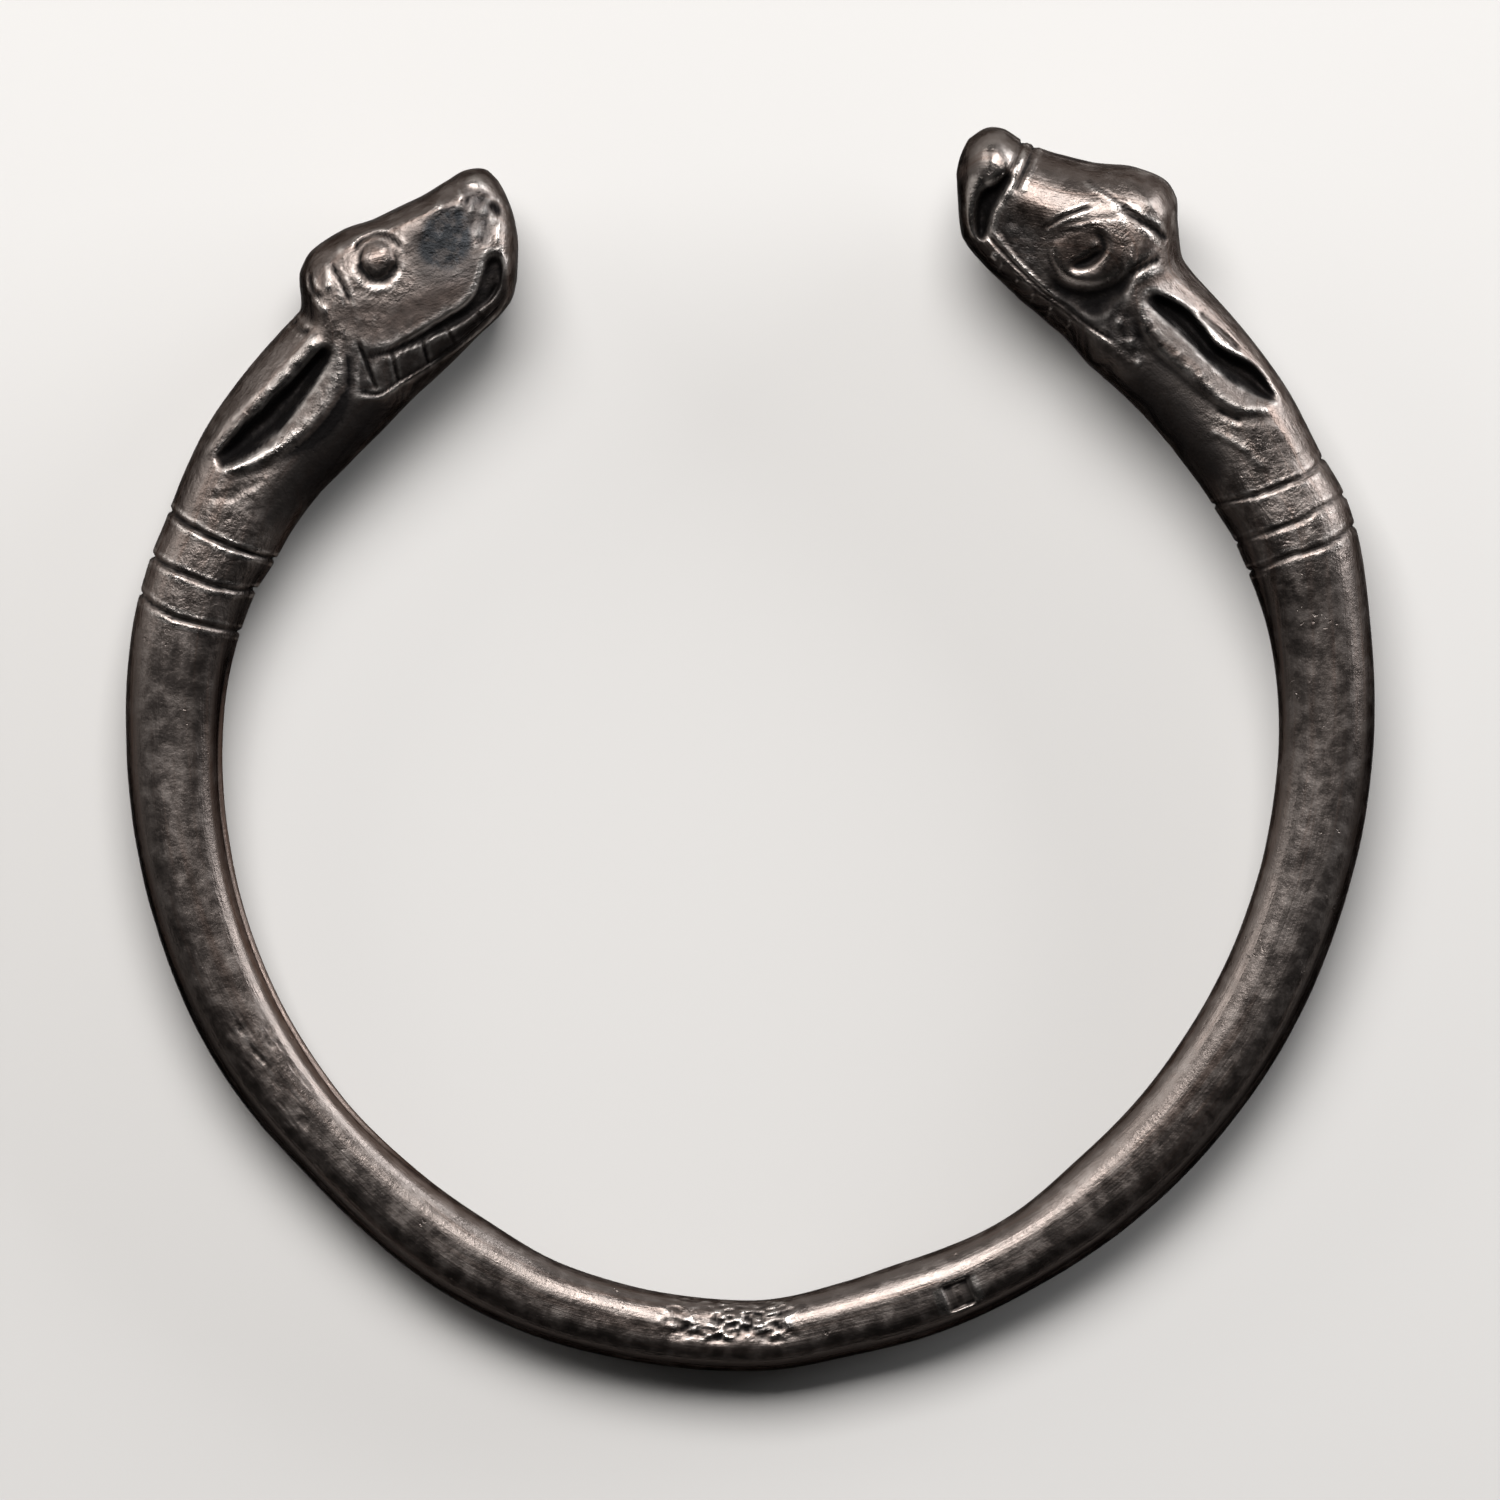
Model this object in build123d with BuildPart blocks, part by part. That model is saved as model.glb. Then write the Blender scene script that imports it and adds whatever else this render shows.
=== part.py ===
"""Open silver bangle cast in one piece, each end an animal's head with laid-back ears."""

import os
from collections import namedtuple
from math import cos, degrees, radians, sin

from build123d import *

# Hoop
hoop_radius = 34.6
rod_width = 5.8
rod_thickness = 5.4
rod_flat = 0.18

# Necks, at the middle groove of each collar
left_neck_angle = 162.0
left_neck_width = 6.7
left_neck_thickness = 6.4
left_neck_set_out = 0.0
right_neck_angle = 23.5
right_neck_width = 7.2
right_neck_thickness = 6.6
right_neck_set_out = 0.8

# Heads
left_head_length = 29.1
left_head_height = 10.7
left_head_thickness = 8.4
left_head_roll = 0.0
right_head_length = 28.3
right_head_height = 11.3
right_head_thickness = 8.4
right_head_roll = 20.0
roll_end = 0.6

# Engraved lines
line_width = 0.45
line_depth = 0.35
groove_width = 0.4
groove_depth = 0.3

# Length of one band of the surface along the metal, and the share of a head kept round each cut
band_length = 1.0
stretch_margin = 0.04

# A curve with two middle points reaches this share of their height
bezier_share = 0.75

# How closely the points picked on the surface follow it when its lowest places are found
point_tolerance = 0.02

# Ears
ear_rise = 0.5
left_hollow_width = 1.8
right_hollow_width = 2.0
hollow_lift = 0.3
hollow_end_width = 0.5

# Eyes
pellet_width = 2.1
pellet_rise = 0.4
left_eye_length = 3.3
left_eye_height = 3.1
right_eye_length = 4.3
right_eye_height = 3.7
pupil_width = 0.6

# Punched dent in the hoop
dent_side = 1.6
dent_depth = 0.3
dent_turn = 0.583
dent_across = 0.22

# A section of the hoop: turn is the share of the way from the left neck to the right neck,
# set_out is in rod widths, width and thickness are shares of the rod's
HoopRow = namedtuple("HoopRow", "turn set_out width thickness")
hoop_rows = [
    HoopRow(0.036, 0.03, 1.09, 1.10),
    HoopRow(0.081, 0.01, 1.01, 1.03),
    HoopRow(0.150, 0.00, 0.95, 1.00),
    HoopRow(0.217, 0.01, 0.91, 0.96),
    HoopRow(0.284, 0.00, 0.83, 0.92),
    HoopRow(0.352, 0.06, 0.89, 0.90),
    HoopRow(0.402, 0.11, 0.81, 0.87),
    HoopRow(0.488, 0.11, 0.75, 0.84),
    HoopRow(0.533, 0.02, 0.78, 0.84),
    HoopRow(0.564, -0.02, 0.83, 0.86),
    HoopRow(0.610, -0.04, 0.79, 0.88),
    HoopRow(0.668, -0.10, 0.89, 0.91),
    HoopRow(0.736, -0.11, 0.93, 0.95),
    HoopRow(0.804, -0.09, 0.95, 0.98),
    HoopRow(0.872, -0.02, 0.98, 1.00),
    HoopRow(0.939, 0.07, 1.05, 1.04),
]

# A section of a head: along is the share of its length from the neck to the nose, set_out is in
# head heights, height and thickness are shares of the head's, flat is the level share of a cheek
HeadRow = namedtuple("HeadRow", "along set_out height thickness flat")
left_rows = [
    HeadRow(0.083, -0.026, 0.66, 0.78, 0.18),
    HeadRow(0.166, -0.030, 0.69, 0.80, 0.20),
    HeadRow(0.249, -0.038, 0.73, 0.83, 0.20),
    HeadRow(0.373, -0.069, 0.78, 0.87, 0.22),
    HeadRow(0.498, -0.089, 0.80, 0.92, 0.26),
    HeadRow(0.545, -0.090, 0.80, 0.96, 0.28),
    HeadRow(0.602, -0.008, 0.96, 0.99, 0.30),
    HeadRow(0.643, 0.012, 1.00, 1.00, 0.32),
    HeadRow(0.705, 0.006, 0.97, 0.99, 0.36),
    HeadRow(0.768, -0.013, 0.89, 0.97, 0.44),
    HeadRow(0.851, -0.011, 0.82, 0.93, 0.50),
    HeadRow(0.913, 0.017, 0.77, 0.87, 0.50),
    HeadRow(0.944, 0.060, 0.70, 0.81, 0.44),
    HeadRow(0.975, 0.118, 0.54, 0.67, 0.34),
    HeadRow(0.990, 0.147, 0.42, 0.52, 0.28),
    HeadRow(1.000, 0.165, 0.24, 0.30, 0.24),
]
right_rows = [
    HeadRow(0.096, 0.050, 0.64, 0.78, 0.18),
    HeadRow(0.224, 0.050, 0.68, 0.82, 0.20),
    HeadRow(0.353, 0.046, 0.70, 0.86, 0.22),
    HeadRow(0.481, 0.043, 0.72, 0.92, 0.24),
    HeadRow(0.530, 0.050, 0.74, 0.95, 0.24),
    HeadRow(0.588, 0.127, 0.87, 0.98, 0.26),
    HeadRow(0.620, 0.186, 0.97, 1.00, 0.28),
    HeadRow(0.652, 0.207, 1.00, 1.00, 0.30),
    HeadRow(0.705, 0.197, 0.95, 0.97, 0.34),
    HeadRow(0.780, 0.158, 0.81, 0.90, 0.38),
    HeadRow(0.844, 0.154, 0.72, 0.82, 0.38),
    HeadRow(0.897, 0.170, 0.66, 0.75, 0.34),
    HeadRow(0.940, 0.210, 0.62, 0.68, 0.30),
    HeadRow(0.960, 0.244, 0.54, 0.60, 0.26),
    HeadRow(0.980, 0.283, 0.40, 0.46, 0.22),
    HeadRow(1.000, 0.305, 0.20, 0.24, 0.20),
]

# Places on a head are (along, across): across is -1 at the jaw, 0 on the middle and 1 at the crown
left_lines = {
    "mouth": [(0.915, -0.37), (0.88, -0.54), (0.83, -0.63), (0.75, -0.56), (0.68, -0.51),
              (0.62, -0.38), (0.586, -0.17), (0.578, 0.03)],
    "lip": [(0.91, -0.97), (0.85, -0.93), (0.75, -0.87), (0.67, -0.82), (0.60, -0.77)],
    "tooth 1": [(0.836, -0.68), (0.843, -0.90)],
    "tooth 2": [(0.755, -0.62), (0.750, -0.85)],
    "tooth 3": [(0.698, -0.57), (0.679, -0.80)],
    "tooth 4": [(0.628, -0.45), (0.596, -0.72)],
    "tooth 5": [(0.592, -0.20), (0.544, -0.58)],
    "brow": [(0.666, 0.80), (0.700, 0.86), (0.757, 0.80), (0.807, 0.80)],
    "temple": [(0.655, 0.73), (0.636, 0.28)],
    "crescent": [(0.605, 0.82), (0.598, 0.65), (0.591, 0.45)],
}
right_lines = {
    "muzzle 1": [(0.900, 1.0), (0.897, 0.49), (0.890, 0.0)],
    "muzzle 2": [(0.877, 1.0), (0.874, 0.61), (0.869, 0.24)],
    "mouth front": [(0.903, 0.30), (0.925, 0.02), (0.936, -0.20), (0.925, -0.50), (0.893, -0.60)],
    "lip": [(0.893, -0.60), (0.791, -0.71), (0.717, -0.73), (0.658, -0.74), (0.522, -0.54)],
    "tooth 1": [(0.828, -0.68), (0.845, -0.95)],
    "tooth 2": [(0.765, -0.74), (0.785, -0.98)],
    "tooth 3": [(0.719, -0.74), (0.739, -0.98)],
    "tooth 4": [(0.667, -0.75), (0.687, -0.98)],
    "tooth 5": [(0.612, -0.70), (0.632, -0.96)],
    "brow": [(0.795, -0.07), (0.771, 0.23), (0.739, 0.43)],
    "eyelid": [(0.760, 0.06), (0.724, 0.30), (0.669, 0.42)],
    "crown": [(0.772, 0.70), (0.728, 0.56), (0.683, 0.47), (0.649, 0.43), (0.584, 0.76)],
    "temple": [(0.590, -0.06), (0.572, 0.30), (0.554, 0.63)],
}
left_grooves = [
    [(0.100, 1.2), (0.099, 0.98), (0.090, 0.01), (0.079, -0.97), (0.078, -1.2)],
    [(0.003, 1.2), (0.002, 0.94), (-0.001, -0.02), (-0.008, -0.96), (-0.009, -1.2)],
    [(-0.075, 1.2), (-0.075, 0.97), (-0.085, 0.07), (-0.099, -0.84), (-0.100, -1.2)],
]
right_grooves = [
    [(0.097, -1.2), (0.096, -0.90), (0.084, 0.02), (0.082, 0.96), (0.081, 1.2)],
    [(-0.004, -1.2), (-0.004, -0.75), (-0.010, 0.02), (0.002, 0.91), (0.004, 1.2)],
    [(-0.079, -1.2), (-0.079, -0.70), (-0.076, 0.07), (-0.059, 0.89), (-0.055, 1.2)],
]
left_ear = [(0.560, 0.36), (0.548, 0.61), (0.473, 0.58), (0.374, 0.57), (0.302, 0.63), (0.240, 0.71),
            (0.200, 0.76), (0.196, 0.45), (0.266, -0.05), (0.333, -0.24), (0.408, -0.28),
            (0.477, -0.21), (0.527, -0.04)]
right_ear = [(0.572, 0.22), (0.558, 0.58), (0.471, 0.70), (0.388, 0.74), (0.302, 0.76), (0.230, 0.80),
             (0.185, 0.82), (0.190, 0.66), (0.214, 0.30), (0.269, -0.13), (0.357, -0.30),
             (0.456, -0.28), (0.534, -0.12)]
left_hollow = [(0.530, 0.26), (0.225, 0.50)]
right_hollow = [(0.540, 0.24), (0.215, 0.66)]
left_eye = (0.728, 0.50)
right_eye = (0.694, -0.10)
right_pupil = [(0.701, 0.12), (0.676, 0.06), (0.672, -0.12), (0.695, -0.28)]

Section = namedtuple("Section", "angle radius width thickness flat roll")
Head = namedtuple("Head", "neck way length height thickness roll rows")
Eye = namedtuple("Eye", "spot length height")


def turn_of(head, along):
    """The angle of a point along a head, from its neck to its nose."""
    return head.neck.angle + head.way * degrees(along * head.length / hoop_radius)


def ease(share):
    """A smooth start and stop between 0 and 1."""
    share = min(1.0, max(0.0, share))
    return share * share * (3 - 2 * share)


def head_sections(head):
    """The sections of a head's table, from the smaller angle to the larger."""
    cuts = [head.neck]
    for row in head.rows:
        cuts.append(Section(
            turn_of(head, row.along),
            hoop_radius + row.set_out * head.height,
            row.height * head.height,
            row.thickness * head.thickness,
            row.flat,
            head.roll * ease(row.along / roll_end),
        ))
    return cuts[::head.way]


left_neck = Section(
    left_neck_angle,
    hoop_radius + left_neck_set_out,
    left_neck_width,
    left_neck_thickness,
    rod_flat,
    0,
)
right_neck = Section(
    right_neck_angle + 360,
    hoop_radius + right_neck_set_out,
    right_neck_width,
    right_neck_thickness,
    rod_flat,
    0,
)
left_head = Head(
    left_neck,
    -1,
    left_head_length,
    left_head_height,
    left_head_thickness,
    left_head_roll,
    left_rows,
)
right_head = Head(
    right_neck,
    1,
    right_head_length,
    right_head_height,
    right_head_thickness,
    right_head_roll,
    right_rows,
)

hoop_turn = right_neck.angle - left_neck.angle
sections = head_sections(left_head)
for row in hoop_rows:
    sections.append(Section(
        left_neck.angle + row.turn * hoop_turn,
        hoop_radius + row.set_out * rod_width,
        row.width * rod_width,
        row.thickness * rod_thickness,
        rod_flat,
        0,
    ))
sections += head_sections(right_head)


def section_at(angle):
    """The section at an angle, on a smooth curve through the tables that never overshoots them."""
    here = 0
    while here < len(sections) - 2 and angle > sections[here + 1].angle:
        here += 1
    before, after = sections[here:here + 2]
    near = sections[max(here - 1, 0):here + 3]
    gap = after.angle - before.angle
    share = (angle - before.angle) / gap
    values = [angle]
    for column in range(1, len(before)):
        slopes = [(b[column] - a[column]) / (b.angle - a.angle) for a, b in zip(near, near[1:])]
        middle = slopes[1] if here else slopes[0]
        bends = []
        for side in (slopes[0], slopes[-1]):
            bends.append(2 * side * middle / (side + middle) if side * middle > 0 else 0)
        swell = share * (1 - share) * gap * (bends[0] * (1 - share) - bends[1] * share)
        values.append(before[column] + (after[column] - before[column]) * ease(share) + swell)
    return Section(*values)


def section_face(cut, inset=0.0):
    """The metal's cross-section in the plane through the hoop's axis at its angle, smaller by the inset."""
    outward = Vector(cos(radians(cut.angle)), sin(radians(cut.angle)), 0)
    forward = Vector(sin(radians(cut.angle)), -cos(radians(cut.angle)), 0)
    crown = outward * cos(radians(cut.roll)) + Vector(0, 0, sin(radians(cut.roll)))
    plane = Plane(origin=outward * cut.radius, x_dir=crown, z_dir=forward)
    level = cut.flat * cut.width / 2
    dome = cut.width / 2 - level - inset
    half = cut.thickness / 2 - inset
    with BuildSketch(plane) as face:
        with BuildLine():
            Line((-level, half), (level, half))
            EllipticalCenterArc((level, 0), dome, half, -90, arc_size=180)
            Line((level, -half), (-level, -half))
            EllipticalCenterArc((-level, 0), dome, half, 90, arc_size=180)
        make_face()
    return face.sketch


def stretch(start, end, inset=0.0):
    """The cross-sections from one angle to another: those of the tables and even steps between them."""
    stops = [start] + [cut.angle for cut in sections if start < cut.angle < end] + [end]
    angles = [start]
    for first, last in zip(stops, stops[1:]):
        count = max(1, round(radians(last - first) * hoop_radius / band_length))
        angles += [first + (last - first) * step / count for step in range(1, count + 1)]
    return [section_face(section_at(angle), inset) for angle in angles]


def stretch_of(head, spots, inset):
    """The cross-sections of the stretch of a head that holds these places, smaller by the inset."""
    shares = [along for along, across in spots]
    near_neck = turn_of(head, min(shares) - stretch_margin)
    near_nose = turn_of(head, min(1.0, max(shares) + stretch_margin))
    return stretch(min(near_neck, near_nose), max(near_neck, near_nose), inset)


def place(head, spot):
    """The point of the mid-plane below a place on a head."""
    cut = section_at(turn_of(head, spot[0]))
    radius = cut.radius + spot[1] * cut.width / 2
    return Vector(radius * cos(radians(cut.angle)), radius * sin(radians(cut.angle)), 0)


def surface(head, spot):
    """The point of the upper surface above a place on a head."""
    cut = section_at(turn_of(head, spot[0]))
    bend = max(0.0, abs(spot[1]) - cut.flat) / (1 - cut.flat)
    return place(head, spot) + Vector(0, 0, cut.thickness / 2 * (1 - bend ** 2) ** 0.5)


def mirror_plane(head):
    """The plane between a head's two cheeks."""
    angle = radians(turn_of(head, roll_end))
    outward = Vector(cos(angle), sin(angle), 0)
    normal = Vector(0, 0, 1) * cos(radians(head.roll)) - outward * sin(radians(head.roll))
    return Plane(origin=outward * hoop_radius, z_dir=normal)


def make_ear(head, outline):
    """A leaf standing proud of both sides of the neck."""
    with BuildPart() as ear:
        with BuildSketch():
            with BuildLine():
                Polyline(*[place(head, spot) for spot in outline], close=True)
            make_face()
        extrude(amount=head.thickness)
        mirror(about=mirror_plane(head))
        loft(stretch_of(head, outline, -ear_rise), ruled=True, mode=Mode.INTERSECT)
    return ear.part


def make_hollow(head, ends, width):
    """The long scoop in an ear, a spindle turned about the line from its root to its tip."""
    root, tip = [surface(head, spot) + Vector(0, 0, hollow_lift) for spot in ends]
    length = (tip - root).length
    side = (tip - root).cross(Vector(0, 0, 1))
    end = hollow_end_width / 2
    pull = end + (width / 2 - end) / bezier_share
    with BuildPart() as hollow:
        with BuildSketch(Plane(origin=root, x_dir=tip - root, z_dir=side)):
            with BuildLine():
                Polyline((0, end), (0, 0), (length, 0), (length, end))
                Bezier((0, end), (length / 4, pull), (length * 3 / 4, pull), (length, end))
            make_face()
        revolve(axis=Axis(root, tip - root))
        mirror(about=mirror_plane(head))
    return hollow.part


def make_lines(head, lines, eye, pupil):
    """The lines engraved on both cheeks, with the ring and the pupil of each eye."""
    spots = [spot for line in lines.values() for spot in line]
    with BuildPart() as engraving:
        with BuildSketch():
            with Locations(Location(place(head, eye.spot), (0, 0, turn_of(head, eye.spot[0]) + 90))):
                Ellipse(eye.length / 2, eye.height / 2)
                Ellipse(eye.length / 2 - line_width, eye.height / 2 - line_width, mode=Mode.SUBTRACT)
            for line in lines.values():
                with BuildLine() as path:
                    Polyline(*[place(head, spot) for spot in line])
                trace(path.line, line_width)
            if pupil:
                with BuildLine() as path:
                    Polyline(*[place(head, spot) for spot in pupil])
                trace(path.line, pupil_width)
        extrude(amount=head.thickness)
        mirror(about=mirror_plane(head))
        loft(stretch_of(head, spots, line_depth), ruled=True, mode=Mode.SUBTRACT)
    return engraving.part


def make_pellet(head, eye):
    """The domed pellet of an eye, on both cheeks."""
    radius = (pellet_width ** 2 / 4 + pellet_rise ** 2) / (2 * pellet_rise)
    with BuildPart() as pellet:
        with Locations(surface(head, eye.spot) - Vector(0, 0, radius - pellet_rise)):
            Sphere(radius)
        mirror(about=mirror_plane(head))
    return pellet.part


def make_grooves(head, grooves):
    """The grooves engraved round a neck."""
    spots = [spot for groove in grooves for spot in groove]
    with BuildPart() as rings:
        with BuildSketch():
            for groove in grooves:
                with BuildLine() as path:
                    Polyline(*[place(head, spot) for spot in groove])
                trace(path.line, groove_width)
        extrude(amount=head.thickness, both=True)
        loft(stretch_of(head, spots, groove_depth), ruled=True, mode=Mode.SUBTRACT)
    return rings.part


left_look = Eye(left_eye, left_eye_length, left_eye_height)
right_look = Eye(right_eye, right_eye_length, right_eye_height)
dent_cut = section_at(left_neck.angle + dent_turn * hoop_turn)
dent_outward = Vector(cos(radians(dent_cut.angle)), sin(radians(dent_cut.angle)), 0)
dent_middle = dent_outward * (dent_cut.radius + dent_across * dent_cut.width / 2)
dent_floor = Vector(0, 0, dent_cut.thickness / 2 - dent_depth)

with BuildPart() as bracelet:
    loft(stretch(sections[0].angle, sections[-1].angle), ruled=True)
    add(make_ear(left_head, left_ear))
    add(make_ear(right_head, right_ear))
    add(make_hollow(left_head, left_hollow, left_hollow_width), mode=Mode.SUBTRACT)
    add(make_hollow(right_head, right_hollow, right_hollow_width), mode=Mode.SUBTRACT)
    add(make_lines(left_head, left_lines, left_look, None), mode=Mode.SUBTRACT)
    add(make_pellet(left_head, left_look))
    add(make_lines(right_head, right_lines, right_look, right_pupil), mode=Mode.SUBTRACT)
    add(make_grooves(left_head, left_grooves), mode=Mode.SUBTRACT)
    add(make_grooves(right_head, right_grooves), mode=Mode.SUBTRACT)
    with BuildSketch(Plane(origin=dent_middle + dent_floor, x_dir=dent_outward, z_dir=(0, 0, 1))):
        Rectangle(dent_side, dent_side)
    extrude(amount=rod_thickness, mode=Mode.SUBTRACT)

# The bracelet rests on the lowest point of each head and, leaning back from them, on its hoop
points = bracelet.part.tessellate(point_tolerance)[0]
left_foot = min((point for point in points if point.Y > 0 and point.X < 0), key=lambda point: point.Z)
right_foot = min((point for point in points if point.Y > 0 and point.X > 0), key=lambda point: point.Z)
back = [point for point in points if point.Y < 0]
back_foot = min(back, key=lambda point: (point.Z - left_foot.Z) / (left_foot.Y - point.Y))
up = (back_foot - left_foot).cross(right_foot - left_foot)
ground = Plane(origin=left_foot, x_dir=Vector(up.Z, 0, -up.X), z_dir=up)
lowest = min(ground.to_local_coords(point).Z for point in points)
laid = ground.to_local_coords(bracelet.part)
box = laid.bounding_box()
laid = Pos(-box.center().X, -box.center().Y, -lowest) * laid

laid.label = "bracelet"
os.makedirs("parts", exist_ok=True)
export_step(laid, "parts/bracelet.step")
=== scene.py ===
"""Open silver bangle with two animal heads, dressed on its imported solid. Lengths are in metres."""

import math
from collections import namedtuple

import bpy
import numpy as np
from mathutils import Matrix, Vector


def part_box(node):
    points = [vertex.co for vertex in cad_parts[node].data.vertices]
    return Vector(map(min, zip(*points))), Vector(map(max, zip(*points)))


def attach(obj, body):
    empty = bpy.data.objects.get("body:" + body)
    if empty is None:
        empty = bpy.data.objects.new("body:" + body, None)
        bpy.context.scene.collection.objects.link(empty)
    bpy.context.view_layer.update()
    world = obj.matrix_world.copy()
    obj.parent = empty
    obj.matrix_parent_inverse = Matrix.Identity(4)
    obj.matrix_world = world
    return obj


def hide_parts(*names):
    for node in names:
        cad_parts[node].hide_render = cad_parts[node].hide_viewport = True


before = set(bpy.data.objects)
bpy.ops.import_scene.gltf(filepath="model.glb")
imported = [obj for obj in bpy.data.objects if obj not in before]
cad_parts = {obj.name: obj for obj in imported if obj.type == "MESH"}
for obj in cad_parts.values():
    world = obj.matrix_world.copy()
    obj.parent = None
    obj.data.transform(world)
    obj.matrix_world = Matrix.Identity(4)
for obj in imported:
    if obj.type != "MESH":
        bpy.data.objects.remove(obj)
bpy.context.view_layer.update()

bl_info = {
    "name": "Silver Bangle",
    "version": (1, 0, 0),
    "blender": (4, 5, 0),
    "location": "View3D > Sidebar > Silver Bangle",
    "description": "Builds an open silver bangle with two animal heads and its studio",
    "category": "Add Mesh",
}

MM = 0.001

# Columns of the mesh in a quarter ring, on the side that shows and on the hidden side
UPPER_COLUMNS = 46
LOWER_COLUMNS = 22
# Gaps between the rings of the mesh on the heads, the necks and the plain hoop
HEAD_STEP = 0.132 * MM
NECK_STEP = 1.1 * HEAD_STEP
HOOP_STEP = 0.75 * MM
# How far a neck's grooves reach behind its collar, as a share of the head's length
NECK_FOOT = -0.14
# How far the ends of the two noses bulge
END_DOME = 0.16 * MM
# How far below the solid's top the highest parts begin to be worn down
TOP_WEAR = 0.3 * MM

# A section of the hoop: turn is the share of the way from the left neck to the right neck,
# set_out is in rod widths, width and thickness are shares of the rod's
HoopRow = namedtuple("HoopRow", "turn set_out width thickness")
hoop_rows = [
    HoopRow(0.036, 0.03, 1.09, 1.10),
    HoopRow(0.081, 0.01, 1.01, 1.03),
    HoopRow(0.150, 0.00, 0.95, 1.00),
    HoopRow(0.217, 0.01, 0.91, 0.96),
    HoopRow(0.284, 0.00, 0.83, 0.92),
    HoopRow(0.352, 0.06, 0.89, 0.90),
    HoopRow(0.402, 0.11, 0.81, 0.87),
    HoopRow(0.488, 0.11, 0.75, 0.84),
    HoopRow(0.533, 0.02, 0.78, 0.84),
    HoopRow(0.564, -0.02, 0.83, 0.86),
    HoopRow(0.610, -0.04, 0.79, 0.88),
    HoopRow(0.668, -0.10, 0.89, 0.91),
    HoopRow(0.736, -0.11, 0.93, 0.95),
    HoopRow(0.804, -0.09, 0.95, 0.98),
    HoopRow(0.872, -0.02, 0.98, 1.00),
    HoopRow(0.939, 0.07, 1.05, 1.04),
]

# A section of a head: along is the share of its length from the neck to the nose, set_out is in
# head heights, height and thickness are shares of the head's, flat is the level share of a cheek
HeadRow = namedtuple("HeadRow", "along set_out height thickness flat")
left_rows = [
    HeadRow(0.083, -0.026, 0.66, 0.78, 0.18),
    HeadRow(0.166, -0.030, 0.69, 0.80, 0.20),
    HeadRow(0.249, -0.038, 0.73, 0.83, 0.20),
    HeadRow(0.373, -0.069, 0.78, 0.87, 0.22),
    HeadRow(0.498, -0.089, 0.80, 0.92, 0.26),
    HeadRow(0.545, -0.090, 0.80, 0.96, 0.30),
    HeadRow(0.602, -0.008, 0.96, 0.99, 0.36),
    HeadRow(0.643, 0.012, 1.00, 1.00, 0.40),
    HeadRow(0.705, 0.006, 0.97, 0.99, 0.45),
    HeadRow(0.768, -0.013, 0.89, 0.97, 0.50),
    HeadRow(0.851, -0.011, 0.82, 0.93, 0.54),
    HeadRow(0.913, 0.017, 0.77, 0.87, 0.52),
    HeadRow(0.944, 0.060, 0.70, 0.81, 0.46),
    HeadRow(0.975, 0.118, 0.54, 0.67, 0.36),
    HeadRow(0.990, 0.147, 0.42, 0.52, 0.28),
    HeadRow(1.000, 0.165, 0.24, 0.30, 0.24),
]
right_rows = [
    HeadRow(0.096, 0.050, 0.64, 0.78, 0.18),
    HeadRow(0.224, 0.050, 0.68, 0.82, 0.20),
    HeadRow(0.353, 0.046, 0.70, 0.86, 0.22),
    HeadRow(0.481, 0.043, 0.72, 0.92, 0.24),
    HeadRow(0.530, 0.050, 0.74, 0.95, 0.24),
    HeadRow(0.588, 0.127, 0.87, 0.98, 0.26),
    HeadRow(0.620, 0.186, 0.97, 1.00, 0.28),
    HeadRow(0.652, 0.207, 1.00, 1.00, 0.30),
    HeadRow(0.705, 0.197, 0.95, 0.97, 0.34),
    HeadRow(0.780, 0.158, 0.81, 0.90, 0.38),
    HeadRow(0.844, 0.154, 0.72, 0.82, 0.38),
    HeadRow(0.897, 0.170, 0.66, 0.75, 0.34),
    HeadRow(0.940, 0.210, 0.62, 0.68, 0.30),
    HeadRow(0.960, 0.244, 0.54, 0.60, 0.26),
    HeadRow(0.980, 0.283, 0.40, 0.46, 0.22),
    HeadRow(1.000, 0.305, 0.20, 0.24, 0.20),
]

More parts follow.
